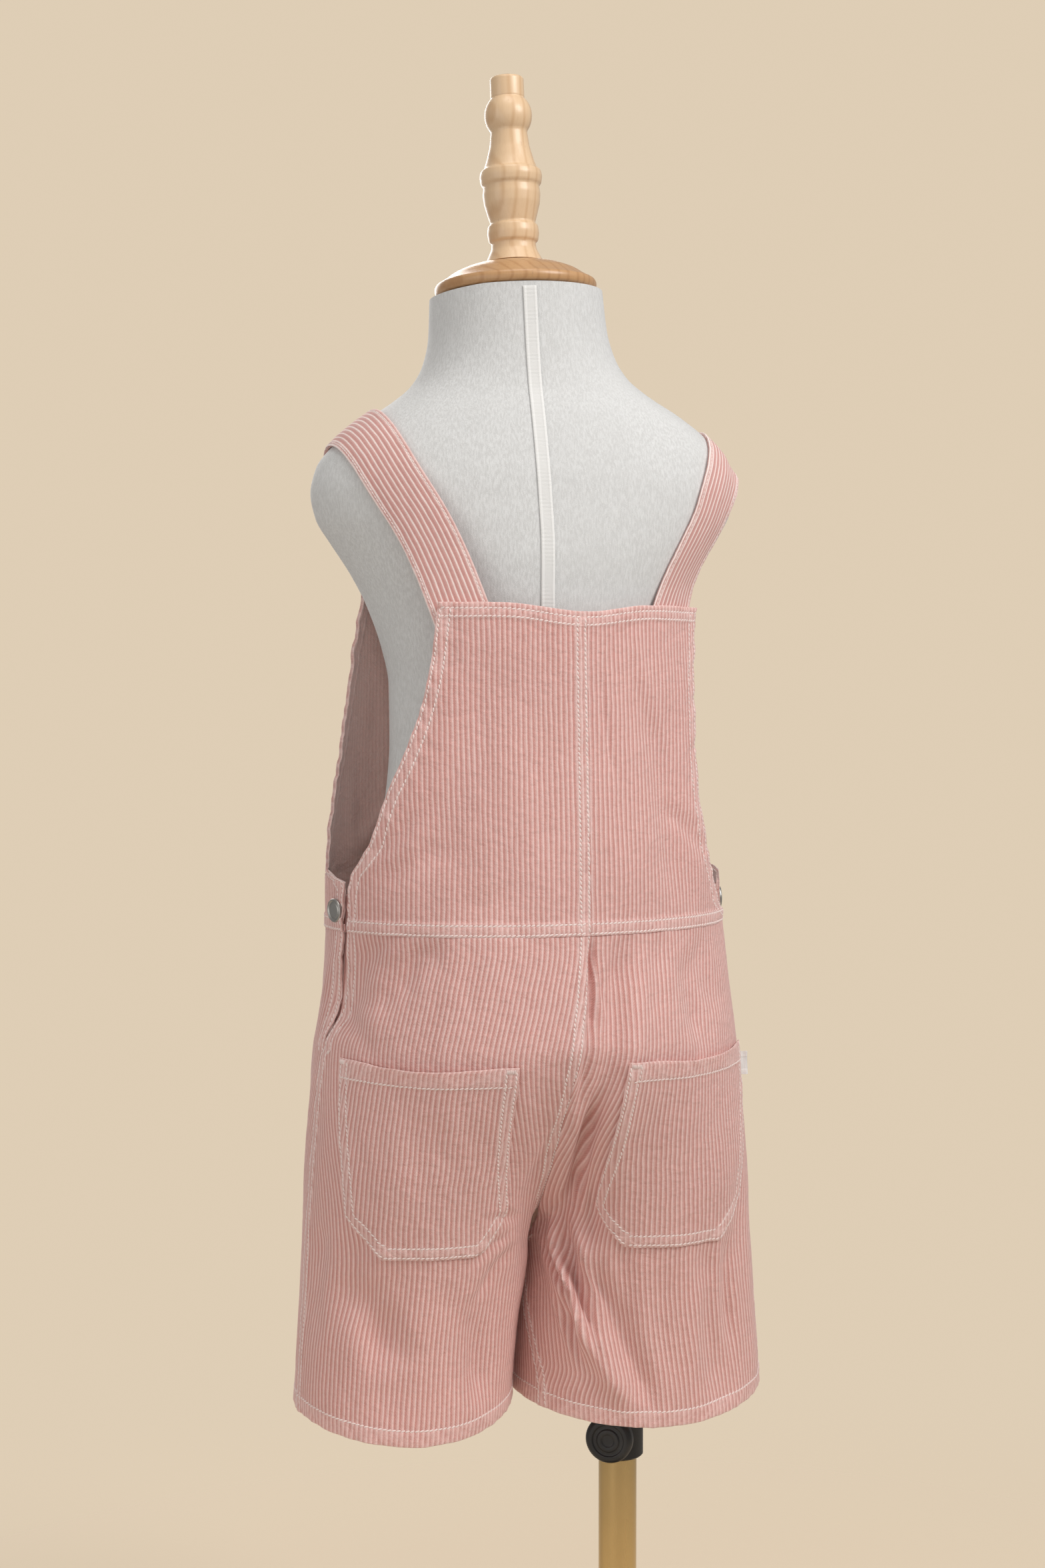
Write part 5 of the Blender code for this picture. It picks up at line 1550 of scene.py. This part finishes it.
# ---------------------------------------------------------------- the dress form
@dataclass(frozen=True)
class DressForm:
    """The limbless form: a velvet torso with shoulder stumps, a tape down its back and a wooden neck."""

    turn: float = -7.0
    lean: float = 2.5
    lean_start: float = 0.55
    drop: float = 0.07
    drop_start: float = 0.035
    neck_top: float = 0.709
    bottom: float = 0.195
    tape_half_width: float = 0.0042
    cap_gap: float = 0.0006
    rings: Table = Table(
        ("height", "half_width", "back", "front"),
        ((0.195, 0.088, 0.056, 0.056), (0.201, 0.095, 0.063, 0.063), (0.214, 0.1, 0.07, 0.068),
         (0.236, 0.103, 0.075, 0.072), (0.268, 0.102, 0.076, 0.074), (0.31, 0.098, 0.07, 0.076),
         (0.363, 0.094, 0.066, 0.078), (0.425, 0.0885, 0.07, 0.076), (0.462, 0.089, 0.073, 0.075),
         (0.487, 0.0935, 0.0745, 0.074), (0.515, 0.103, 0.0755, 0.073), (0.535, 0.113, 0.076, 0.07),
         (0.556, 0.126, 0.0745, 0.066), (0.572, 0.1345, 0.0725, 0.063), (0.587, 0.137, 0.0705, 0.06),
         (0.603, 0.133, 0.067, 0.057), (0.618, 0.121, 0.063, 0.053), (0.631, 0.104, 0.059, 0.05),
         (0.643, 0.084, 0.055, 0.0485), (0.654, 0.07, 0.053, 0.0475), (0.667, 0.062, 0.0515, 0.047),
         (0.684, 0.0575, 0.0505, 0.047), (0.709, 0.0555, 0.05, 0.048)))

    def shoulder_drop(self, x: Array, height: Array) -> Array:
        """How much lower the left shoulder lies, in proportion to the distance out from its start."""
        return self.drop * np.maximum(x - self.drop_start, 0.0) * ease(height, 0.44, 0.5)

    def measure(self, points: Array) -> Array:
        """Below 1 inside the form and above 1 outside: the length of the place over the ring's sizes."""
        points = turned_about_z(points, -self.turn)
        height = points[..., 2] + self.shoulder_drop(points[..., 0], points[..., 2])
        lean = np.maximum(height - self.lean_start, 0.0) * math.tan(math.radians(self.lean))
        x = (points[..., 0] - lean) / self.rings.at("half_width", height)
        depth = np.where(points[..., 1] >= 0, self.rings.at("back", height), self.rings.at("front", height))
        return np.hypot(x, points[..., 1] / depth)

    def surface(self, around: Array, height: Array) -> Array:
        """The torso: an ellipse of the rings at each height, leaning from the chest up.

        Args:
            around: 0 at the wearer's left side, pi/2 behind.
            height: Height above the hem.

        Returns:
            Places from the garment's axis.
        """
        around, height = np.broadcast_arrays(around, height)
        depth = np.where(np.sin(around) >= 0, self.rings.at("back", height), self.rings.at("front", height))
        lean = np.maximum(height - self.lean_start, 0.0) * math.tan(math.radians(self.lean))
        x = self.rings.at("half_width", height) * np.cos(around) + lean
        tilt = (lean - x) * math.tan(math.radians(self.lean)) * ease(height, 0.6, 0.7)
        level = height + tilt - self.shoulder_drop(x, height)
        return turned_about_z(np.stack([x, depth * np.sin(around), level], axis=-1), self.turn)

    def torso(self) -> Piece:
        """The torso's closed skin: rings of the surface between two flat discs."""
        around = np.linspace(0.0, 2 * math.pi, 144, endpoint=False)[None, :]
        hip = 0.24
        height = np.linspace(hip, self.neck_top, 150)
        height = np.concatenate([np.linspace(self.bottom, hip, 16)[:-1], height])
        points = self.surface(around, height[:, None])
        index = np.arange(points.shape[0] * points.shape[1]).reshape(points.shape[:2])
        beside = np.roll(index, -1, axis=1)
        walls = np.stack([index[:-1], beside[:-1], beside[1:], index[1:]], axis=-1).reshape(-1, 4).tolist()
        faces = walls + [index[0, ::-1].tolist(), index[-1].tolist()]
        return new_piece("form_torso_velvet", points + GARMENT_ORIGIN, faces, VELVET, Body.FORM,
                         ("form_torso",), 45.0)

    def tape(self) -> ClothPanel:
        """The narrow tape down the middle of the form's back."""
        def surface(x: Array, height: Array) -> Array:
            """The torso's back at a distance beside its middle, moved out to lie on the velvet."""
            around = np.arccos(np.clip(x / self.rings.at("half_width", height), -1.0, 1.0))
            points = self.surface(around, height)
            return points + unit(points * np.array([1.0, 1.0, 0.0])) * 0.0004

        width = self.tape_half_width
        works = (EdgeWork(Edge.START, band=0.0012, lift=0.00015, pucker=0.0),
                 EdgeWork(Edge.END, band=0.0012, lift=0.00015, pucker=0.0))
        return ClothPanel("centre_tape", surface, lambda height: (-width + 0 * height, width + 0 * height),
                          0.49, self.neck_top - 0.003, works, 0.0, finish=TAPE, slot="tape", wall=0.0006,
                          spacing=0.0016, unrest=0.0, creased=False, grows_out=True, held="laid")

    def build(self) -> None:
        """Builds the torso, its tape and its wooden neck."""
        self.torso()
        self.tape().build()
        self.neck()

    def neck(self) -> None:
        """The cap and the turned finial, both on the leaning neck's axis. Their profiles are in
        millimetres, above the cap's foot and below the finial's top."""
        cap = [(0, 20.3), (19, 19.7), (30, 17.6), (40, 13.6), (45, 10), (48.8, 7.8), (51.2, 6.6), (52, 4),
               (51.2, 1), (49, 0), (0, 0)]
        ball = [(15.2 * math.cos(a), 15.2 * math.sin(a) - 24.2) for a in np.radians(np.linspace(46, -38, 12))]
        finial = [(0, 0), (9.6, 0), (10.8, -1.2), (10.8, -12.5), *ball, (11.6, -35), (12.8, -44), (15, -52),
                  (17, -57.8), (19.3, -59.2), (20, -63), (19.3, -67.2), (17.8, -69), (18.4, -74), (17.8, -80),
                  (15, -90), (14.2, -92.5), (16, -94), (16.6, -98.5), (15.8, -103.5), (14, -105),
                  (14.6, -109), (18, -116), (18.6, -117), (0, -117)]
        foot = np.array([0.0, self.neck_top + self.cap_gap])
        top = foot + MM * np.array([0.0, cap[0][1] - finial[-1][1]])
        for name, profile, origin, step, wood in (("neck_cap", cap, foot, 0.003, CAP_WOOD),
                                                  ("finial", finial, top, 0.0012, PALE_WOOD)):
            profile = filleted(MM * np.array(profile) + origin, step)
            Turned(name + "_wood", profile, wood, Body.FORM, "wood", (name,)).build(self.place_on_neck)

    def place_on_neck(self, points: Array) -> Array:
        """Points about an upright axis, leant about the neck's foot and turned with the form."""
        angle = math.radians(self.lean)
        z = points[..., 2] - self.lean_start
        leant = np.stack([points[..., 0] * math.cos(angle) + z * math.sin(angle), points[..., 1],
                          z * math.cos(angle) - points[..., 0] * math.sin(angle) + self.lean_start], axis=-1)
        return turned_about_z(leant, self.turn) + GARMENT_ORIGIN


@dataclass(frozen=True)
class Turned:
    """A profile of (radius, height) pairs, top to bottom, turned round +Z."""

    name: str
    profile: list
    finish: Finish
    body: Body
    slot: str
    nodes: tuple
    segments: int = 96

    def build(self, placed: Callable[[Array], Array]) -> Piece:
        """Turns the profile and places it.

        Args:
            placed: Takes points about +Z to the frame's axes.

        Returns:
            The piece.
        """
        profile = np.array(self.profile)
        closed = bool(np.allclose(profile[0], profile[-1]))
        if closed:
            profile = profile[:-1]
        angle = np.linspace(0.0, 2 * math.pi, self.segments, endpoint=False)
        count = len(profile)
        points = np.stack([profile[:, :1] * np.cos(angle), profile[:, :1] * np.sin(angle),
                           profile[:, 1:] + 0 * angle], axis=-1)
        index = np.arange(count * self.segments).reshape(count, self.segments)
        axis_rows = profile[:, 0] < 1e-7
        index[axis_rows] = index[axis_rows, :1]
        beside = np.roll(index, -1, axis=1)
        following = np.roll(np.arange(count), -1)[:count if closed else count - 1]
        faces = []
        for row, after in enumerate(following):
            quad = np.stack([index[row], index[after], beside[after], beside[row]], axis=-1)
            if axis_rows[row]:
                quad = quad[:, :3]
            elif axis_rows[after]:
                quad = quad[:, [0, 1, 3]]
            faces += quad.tolist()
        used = np.unique(np.concatenate([np.array(face) for face in faces]))
        renumber = np.zeros(count * self.segments, dtype=int)
        renumber[used] = np.arange(len(used))
        faces = [renumber[np.array(face)].tolist() for face in faces]
        return new_piece(self.name, placed(points.reshape(-1, 3)[used]), faces, self.finish, self.body,
                         self.nodes, 32.0)


# ---------------------------------------------------------------- straps
@dataclass
class Straps:
    """The two shoulder straps, from under the back bib's hem over the form to the front bib."""

    garment: GarmentForm
    form: DressForm
    half_width: float = 0.018
    wall: float = 0.0022
    clearance: float = 0.0008
    bridge: float = 0.006
    calm: float = 0.85
    hub: float = 0.575
    back_end: float = 0.498
    front_end: float = 0.512
    longest_ray: float = 0.16
    sunk: float = 0.03
    under_back_bib: float = 0.0032
    over_front_bib: float = 0.0013
    onto_bibs: tuple = (0.03, 0.22, 0.72, 0.885)
    stitch_rows: tuple = (0.0022,)
    smooth_rows: int = 88
    # back_x, shoulder_x, front_x, back_y, front_y
    routes: dict = field(default_factory=lambda: {
        Side.LEFT: (0.054, 0.1135, 0.066, 0.068, 0.074),
        Side.RIGHT: (-0.0775, -0.1245, -0.066, 0.056, 0.074)})

    def garment_measure(self, points: Array) -> Array:
        """Below 1 inside the garment's body outline and above 1 outside it."""
        height = points[..., 2]
        girths = self.garment.girths
        flat = turned_about_z(points, -girths.at("twist", height))
        depth = np.where(flat[..., 1] >= 0, girths.at("back", height), girths.at("front", height))
        return np.hypot(flat[..., 0] / girths.at("half_width", height), flat[..., 1] / depth)

    @staticmethod
    def hit(measure: Measure, start: Array, way: Array, reach: float) -> Array:
        """The distance along each ray to where a measure passes 1, by halving 30 times.

        Args:
            measure: A measure that is below 1 inside a body.
            start: The rays' starts, inside it.
            way: Their directions.
            reach: The longest distance.

        Returns:
            One distance for each ray.
        """
        low = np.zeros(start.shape[:-1])
        high = np.full(start.shape[:-1], reach)
        for _ in range(30):
            middle = (low + high) / 2
            inside = measure(start + way * middle[..., None]) < 1
            low = np.where(inside, middle, low)
            high = np.where(inside, high, middle)
        return (low + high) / 2

    @staticmethod
    def slope(measure: Measure, points: Array) -> Array:
        """Unit outward normals of a measure: its differences over 2 mm each way."""
        steps = np.eye(3) * 0.002
        return unit(np.stack([measure(points + step) - measure(points - step) for step in steps], axis=-1))

    def band(self, side: Side) -> tuple:
        """A strap's inner face and normals on a coarse grid: rays from the hub line meet the form, eased
        onto the bibs at both ends.

        Args:
            side: The wearer's left or right.

        Returns:
            Places from the garment's axis, and the unit normals there.
        """
        back_x, shoulder_x, front_x, back_y, front_y = self.routes[side]
        back = math.atan2(self.back_end - self.hub, back_y)
        front = math.pi + math.atan2(self.hub - self.front_end, front_y)
        even = np.linspace(0.0, 1.0, 30)
        share = np.concatenate([[0.0], even[1] * np.array([0.33, 0.67]), even[1:]])
        turn = back + (front - back) * share
        end_x = np.where(share < 0.5, back_x, front_x)
        x = end_x + (shoulder_x - end_x) * bump(share, 0.0, 1.03) ** 0.34
        start = np.stack([x, -x * math.tan(math.radians(-self.form.turn)) * 0.8, 0 * x + self.hub], axis=-1)
        ray = np.stack([0 * x, np.cos(turn), np.sin(turn)], axis=-1)
        on_form = start + ray * self.hit(self.form.measure, start, ray, self.longest_ray)[:, None]
        on_bib = start + ray * self.hit(self.garment_measure, start, ray, self.longest_ray)[:, None]
        leave, lie, leave_again, land = self.onto_bibs
        bib = (1 - ease(share, leave, lie) + ease(share, leave_again, land))[:, None]
        lift = np.where(share < 0.5, -(self.under_back_bib + self.wall), self.over_front_bib)
        centre = on_form * (1 - bib) + on_bib * bib
        calm = start * np.array([self.calm, 1.0, 1.0])
        calm = calm + ray * self.hit(self.form.measure, calm, ray, self.longest_ray)[:, None]
        off_form, off_bib = self.slope(self.form.measure, calm), self.slope(self.garment_measure, on_bib)
        normal = unit(smoothed(unit(off_form * (1 - bib) + off_bib * bib), 3))
        aside = unit(smoothed(unit(np.cross(np.gradient(centre, axis=0, edge_order=2), normal)), 2))
        reach = np.linspace(-self.half_width, self.half_width, 5)
        inside = centre[:, None] - normal[:, None] * self.sunk + aside[:, None] * reach[None, :, None]
        way = np.broadcast_to(normal[:, None], inside.shape)
        form_hit = self.hit(self.form.measure, inside, way, 2 * self.sunk) + self.clearance
        bib_hit = self.hit(self.garment_measure, inside, way, 2 * self.sunk) + lift[:, None]
        hit = np.maximum(form_hit * (1 - bib) + bib_hit * bib, form_hit)
        hit = np.maximum(hit, hit[:, 2:3] - self.bridge)
        return inside + way * hit[..., None], way

    def panel(self, side: Side) -> ClothPanel:
        """The strap as a panel: its height runs along it, from the front end up.

        Args:
            side: The wearer's left or right.

        Returns:
            The panel, not yet built.
        """
        inner, way = self.band(side)
        rough = inner + way * self.wall
        step = np.linalg.norm(np.diff(rough[:, 2], axis=0), axis=-1)
        at = np.concatenate([[0.0], np.cumsum(step)])
        run = at[-1]
        count = self.smooth_rows
        flat = rough.reshape(len(at), -1)
        even = [np.interp(np.linspace(0.0, run, count), at, column) for column in flat.T]
        outer = smoothed(np.stack(even, axis=-1).reshape(count, -1, 3), 5)

        def surface(across: Array, along: Array) -> Array:
            """The coarse grid read by cubic weights of its four nearest rows, and straight across."""
            row = np.clip((1 - along / run) * (count - 1), 0, count - 1 - 1e-6)
            i = row.astype(int)
            t = (row - i)[..., None]
            column = np.clip((across + self.half_width) / self.half_width * 2, 0, 4 - 1e-6)
            j = column.astype(int)
            s = (column - j)[..., None]
            reads = []
            for offset in (-1, 0, 1, 2):
                k = np.clip(i + offset, 0, count - 1)
                reads.append(outer[k, j] * (1 - s) + outer[k, j + 1] * s)
            a, b, c, d = reads
            return 0.5 * (2 * b + (c - a) * t + (2 * a - 5 * b + 4 * c - d) * t ** 2
                          + (3 * b - a - 3 * c + d) * t ** 3)

        half = self.half_width - 0.0001
        works = tuple(EdgeWork(edge, band=0.004, lift=0.0001, pucker=pucker, rows=self.stitch_rows)
                      for edge, pucker in ((Edge.START, 0.00012), (Edge.END, 0.00012), (Edge.BOTTOM, 0.0001)))
        return ClothPanel(f"strap_{side.name.lower()}", surface,
                          lambda height: (-half + 0 * height, half + 0 * height), 0.0, float(run), works, 0.0,
                          finish=STRAP_TWILL, slot="strap_twill", wall=self.wall, spacing=0.0016, unrest=0.45,
                          seed=81 + side.value, creased=False, held="draped",
                          rests_on=("form_torso_velvet", "front_bib_cloth"))

    def build(self) -> dict:
        """Builds and sews both straps.

        Returns:
            The panels, by side.
        """
        panels = {}
        for side in Side:
            panel = self.panel(side)
            panel.build()
            Stitching(slant=0.0, width=0.0008).sew(panel.name + "_stitches", panel.stitch_paths(), panel.seed)
            panels[side] = panel
        return panels


# ---------------------------------------------------------------- buttons, tab and stand
def placed_at(origin: Array, way: Array) -> Callable[[Array], Array]:
    """A placing that takes +Z to a direction and the origin to a point."""
    turn = np.array(Vector(way).to_track_quat("Z", "Y").to_matrix())
    return lambda points: points @ turn.T + np.asarray(origin)


@dataclass(frozen=True)
class Hardware:
    """The garment's metal buttons and its blank ribbon tab."""

    strap_radius: float = 0.009
    side_radius: float = 0.0075
    thick: float = 0.0024
    above_strap_end: float = 0.0155
    side_angle: float = 0.115
    side_height: float = 0.32

    def button(self, name: str, point: Array, way: Array, radius: float, node: str) -> None:
        """A plain metal button with a rounded rim, a groove inside it and a low dome.

        Args:
            name: The piece's name.
            point: Its middle on the cloth, from the garment's axis.
            way: The cloth's normal there.
            radius: Its radius.
            node: The CAD node that it stands for.
        """
        shares = [(0.0, 0.92), (0.3, 0.9), (0.6, 0.8), (0.68, 0.62), (0.76, 0.66), (0.86, 1.0), (0.96, 0.86),
                  (1.0, 0.48), (0.96, 0.1), (0.9, 0.0), (0.0, 0.0)]
        profile = np.array(shares) * np.array([radius, self.thick])
        metal = Turned(name, filleted(profile, 0.0006), NICKEL, Body.FORM, "nickel", (node,), 64)
        metal.build(placed_at(point + way * SEAM_GAP + GARMENT_ORIGIN, way))

    def build(self, shorts: DungareeShorts, straps: dict) -> None:
        """Sets the buttons on the straps and beside the side openings, and the tab in the right seam.

        Args:
            shorts: The sewn garment.
            straps: The built straps, by side.
        """
        bib = shorts.panels["front_bib"]
        for side in Side:
            strap, name = straps[side], f"strap_button_{side.name.lower()}"
            level = strap.height[-1:, 0] + self.above_strap_end
            point, way = strap.sample(read_rows(strap.length, strap.row_at(level)) / 2, level)
            self.button(name + "_metal", point[0], way[0], self.strap_radius, name)
            name = f"side_button_{side.name.lower()}"
            angle = -self.side_angle if side is Side.LEFT else math.pi + self.side_angle
            level = np.array([self.side_height])
            point, way = bib.sample(bib.distance_of(np.array([angle]), level), level)
            self.button(name + "_metal", point[0], way[0], self.side_radius, name)
        self.tab()

    def tab(self) -> None:
        """A folded ribbon: a flat loop whose thickness swells towards its fold, standing out of the seam
        in its CAD node's box."""
        low, high = (np.array(corner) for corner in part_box("side_tab"))
        out = np.linspace(0.0, 1.0, 14)[:, None]
        up = np.linspace(0.0, 1.0, 22)[None, :]
        thick = 0.00028 + 0.00045 * ease(out, 0.55, 0.92) - 0.0004 * ease(out, 0.92, 1.0)
        x = high[0] + 0.0012 - (high[0] - low[0] + 0.0012) * out + 0 * up
        z = low[2] + (high[2] - low[2]) * up + 0 * out
        y = (low[1] + high[1]) / 2 + 0.0006 * np.sin(4.0 * up + 2.0 * out)
        front = np.stack([x, y + thick, z], axis=-1)
        back = np.stack([x, y - thick, z], axis=-1)
        faces = sheet_faces(*x.shape)[:, ::-1].tolist()
        piece = new_piece("side_tab_ribbon", np.concatenate([front.reshape(-1, 3), back.reshape(-1, 3)]),
                          faces, RIBBON, Body.FORM, ("side_tab",), 60.0)
        weave = np.stack([z - low[2] - 0.0075, x - low[0]], axis=-1)
        store_weave(piece, np.concatenate([weave, weave]))


@dataclass(frozen=True)
class PoleStand:
    """The pole on its round base, the form's sleeve, and the clamp with its knob."""

    pole_radius: float = 0.0125
    pole_top: float = 0.3
    sleeve_bore: float = 0.0129
    sleeve_radius: float = 0.0155
    sleeve_top: float = 0.217
    collar_radius: float = 0.0168
    collar_top: float = -0.012
    collar_bottom: float = -0.047
    knob_height: float = -0.0295
    knob_radius: float = 0.0155
    knob_way: float = 58.0
    knob_depth: float = 0.0125
    base_radius: float = 0.15
    socket_floor: float = 0.01

    def build(self) -> None:
        """Builds the stand's pieces on the pole's axis."""
        floor, hem = (placed_at(np.array([0.0, 0.0, level]), np.array([0.0, 0.0, 1.0]))
                      for level in (0.0, HEM_HEIGHT))
        r = self.base_radius
        p = self.pole_radius + SEAM_GAP
        base = [(0.0, self.socket_floor), (p, self.socket_floor), (p, 0.034), (0.02, 0.034), (0.0212, 0.0328),
                (0.0212, 0.016), (0.024, 0.0125), (0.03, 0.0108), (r - 0.004, 0.009), (r - 0.001, 0.007),
                (r, 0.0045), (r, 0.0), (0.0, 0.0)]
        top, bottom = HEM_HEIGHT + self.pole_top, self.socket_floor + SEAM_GAP
        pole = [(0.0, top), (self.pole_radius, top), (self.pole_radius, bottom), (0.0, bottom)]
        bore, out, foot = self.sleeve_bore, self.sleeve_radius, self.collar_top + SEAM_GAP
        peak = self.sleeve_top
        sleeve = [(bore, peak), (out, peak), (out, foot), (bore, foot), (bore, peak)]
        out, high, low = self.collar_radius, self.collar_top, self.collar_bottom
        collar = [(bore, high), (out - 0.001, high), (out, high - 0.001), (out, high - 0.009),
                  (out - 0.0006, high - 0.0096), (out - 0.0006, high - 0.0108), (out, high - 0.0114),
                  (out, low + 0.001), (out - 0.001, low), (bore, low), (bore, high)]
        base, pole = filleted(base, 0.0016, 5), filleted(pole, 0.0008)
        for name, profile, finish, body, slot, node, segments, placed in (
                ("base_disc", base, BLACK_STEEL, Body.STAND, "black_steel", "base", 160, floor),
                ("pole_tube", pole, BRASS, Body.STAND, "brass", "pole", 96, floor),
                ("sleeve_tube", sleeve, BLACK_STEEL, Body.FORM, "black_steel", "sleeve", 96, hem),
                ("collar_ring", collar, BLACK_PLASTIC, Body.FORM, "black_plastic", "clamp_collar", 96, hem)):
            Turned(name, profile, finish, body, slot, (node,), segments).build(placed)
        self.knob()

    def knob(self) -> None:
        """The clamp's knob: concentric steps on its face, a rounded grip and its stud."""
        near = self.collar_radius + SEAM_GAP
        face = near + self.knob_depth
        r = self.knob_radius
        profile = [(0.0, face - 0.0008), (0.0036, face - 0.0008), (0.0044, face - 0.0002), (0.0052, face),
                   (0.007, face), (0.0076, face - 0.001), (0.01, face - 0.0011), (0.0106, face - 0.0002),
                   (0.013, face - 0.0004), (r - 0.001, face - 0.0016), (r, face - 0.0034), (r, near + 0.0042),
                   (r - 0.002, near + 0.0022), (0.009, near + 0.0012), (0.0075, near), (0.003, near),
                   (0.003, self.pole_radius + SEAM_GAP), (0.0, self.pole_radius + SEAM_GAP)]
        angle = math.radians(self.knob_way)
        way = np.array([math.cos(angle), math.sin(angle), 0.0])
        origin = np.array([0.0, 0.0, HEM_HEIGHT + self.knob_height])
        grip = Turned("knob_grip", filleted(profile, 0.0006), BLACK_PLASTIC, Body.KNOB, "black_plastic",
                      ("clamp_knob",))
        grip.build(placed_at(origin, way))


# ---------------------------------------------------------------- the studio
@dataclass(frozen=True)
class Studio:
    """A pale floor that fades into a warm plain backdrop, soft lights, and the photo's camera.

    The camera's azimuth and pitch are in degrees, its yaw is a length in the photo over its focal length
    in pixels, and its lens and picture height are in millimetres.
    """

    azimuth: float = 163.0
    pitch: float = 2.03
    distance: float = 1.405
    eye: float = 0.776
    lens: float = 50.0
    picture_height: float = 36.0
    yaw_pixels: float = 6.0
    focal_pixels: float = 3267.0
    backdrop: tuple = (0.735, 0.615, 0.465)
    floor_radius: float = 1.15
    lit_height: float = 0.7
    daylight: tuple = (1.0, 0.965, 0.925)
    daylight_strength: float = 0.32

    def build(self) -> None:
        """Sets the floor, the world, the lights and the camera."""
        self.floor()
        self.world()
        self.lights()
        self.camera()

    def floor(self) -> None:
        """A disc whose edge grows clear, so that it meets the backdrop without a line."""
        angle = np.linspace(0.0, 2 * math.pi, 96, endpoint=False)
        radius = self.floor_radius
        points = np.stack([radius * np.cos(angle), radius * np.sin(angle), 0 * angle], axis=-1)
        mesh = bpy.data.meshes.new("floor")
        mesh.from_pydata(points.tolist(), [], [list(range(96))])
        disc = bpy.data.objects.new("floor", mesh)
        bpy.context.scene.collection.objects.link(disc)
        bench = NodeBench("floor_paper")
        place = bench.node("ShaderNodeVectorMath", operation="LENGTH")
        bench.feed(place.inputs[0], bench.object_place())
        clear = bench.step(place.outputs["Value"], 0.3 * radius, 0.96 * radius, 1.0, 0.0)
        grain = bench.noise(bench.object_place(), 220.0, 2.0)
        shade = tuple(0.94 * c for c in self.backdrop)
        colour = bench.mix(bench.times(grain, 0.25), self.backdrop, shade)
        mesh.materials.append(bench.finish(base_color=colour, roughness=0.9, alpha=clear))

    def world(self) -> None:
        """Even light from all round, and the plain backdrop behind, seen by camera rays."""
        world = bpy.data.worlds.new("studio")
        world.use_nodes = True
        tree = world.node_tree
        light = tree.nodes["Background"]
        light.inputs["Color"].default_value = (*self.daylight, 1.0)
        light.inputs["Strength"].default_value = self.daylight_strength
        behind = tree.nodes.new("ShaderNodeBackground")
        behind.inputs["Color"].default_value = (*self.backdrop, 1.0)
        behind.inputs["Strength"].default_value = 1.0
        seen = tree.nodes.new("ShaderNodeLightPath")
        both = tree.nodes.new("ShaderNodeMixShader")
        tree.links.new(seen.outputs["Is Camera Ray"], both.inputs[0])
        tree.links.new(light.outputs[0], both.inputs[1])
        tree.links.new(behind.outputs[0], both.inputs[2])
        tree.links.new(both.outputs[0], tree.nodes["World Output"].inputs["Surface"])
        bpy.context.scene.world = world
        bpy.context.scene.view_settings.view_transform = "Standard"

    def lights(self) -> None:
        """Hangs six round soft lamps about the garment: a key, a fill and a low bounce to either side of
        the camera, one beside it, one above, and one on the garment's front side. Each row is a lamp's
        name, its azimuth from the front towards the wearer's left, its elevation, distance, size, power
        and colour."""
        target = Vector((GARMENT_AXIS_X, 0.0, self.lit_height))
        plan = (("key", self.azimuth + 55.0, 34.0, 2.6, 1.3, 40.0, (1.0, 0.975, 0.95)),
                ("fill", self.azimuth - 55.0, 10.0, 2.8, 1.8, 10.0, (1.0, 0.96, 0.92)),
                ("bounce", self.azimuth - 30.0, -8.0, 1.7, 1.2, 3.2, (1.0, 0.95, 0.89)),
                ("camera_side", self.azimuth, 15.0, 3.0, 1.0, 4.5, (1.0, 0.975, 0.95)),
                ("top", self.azimuth + 10.0, 72.0, 2.6, 1.6, 18.0, (1.0, 0.98, 0.95)),
                ("front", 0.0, 22.0, 2.8, 1.8, 38.0, (1.0, 0.97, 0.94)))
        for name, azimuth, elevation, distance, size, power, colour in plan:
            lamp = bpy.data.lights.new(name, "AREA")
            lamp.shape = "DISK"
            lamp.size = size
            lamp.energy = power
            lamp.color = colour
            item = bpy.data.objects.new(name, lamp)
            a, e = math.radians(azimuth), math.radians(elevation)
            way = Vector((math.sin(a) * math.cos(e), -math.cos(a) * math.cos(e), math.sin(e)))
            item.location = target + way * distance
            item.rotation_euler = way.to_track_quat("Z", "Y").to_euler()
            bpy.context.scene.collection.objects.link(item)

    def camera(self) -> None:
        """The photo's camera: behind the garment, a little to the wearer's left, looking slightly down."""
        a = math.radians(self.azimuth)
        back = Vector((math.sin(a), -math.cos(a), 0.0))
        place = Vector((GARMENT_AXIS_X, 0.0, self.eye)) + back * self.distance
        yaw = math.atan(self.yaw_pixels / self.focal_pixels)
        right = (-back).cross(Vector((0.0, 0.0, 1.0)))
        level = -back * math.cos(yaw) - right * math.sin(yaw)
        pitch = math.radians(self.pitch)
        look = level * math.cos(pitch) - Vector((0.0, 0.0, math.sin(pitch)))
        camera = bpy.data.cameras.new("photo_camera")
        camera.lens = self.lens
        camera.sensor_fit = "VERTICAL"
        camera.sensor_height = self.picture_height
        item = bpy.data.objects.new("photo_camera", camera)
        item.location = place
        item.rotation_euler = look.to_track_quat("-Z", "Y").to_euler()
        bpy.context.scene.collection.objects.link(item)
        bpy.context.scene.camera = item


def main() -> None:
    logging.basicConfig(level=logging.INFO, format="%(message)s")
    shorts = DungareeShorts()
    shorts.build()
    form = DressForm()
    form.build()
    straps = Straps(shorts.form, form).build()
    Hardware().build(shorts, straps)
    PoleStand().build()
    Studio().build()


if __name__ == "__main__":
    main()
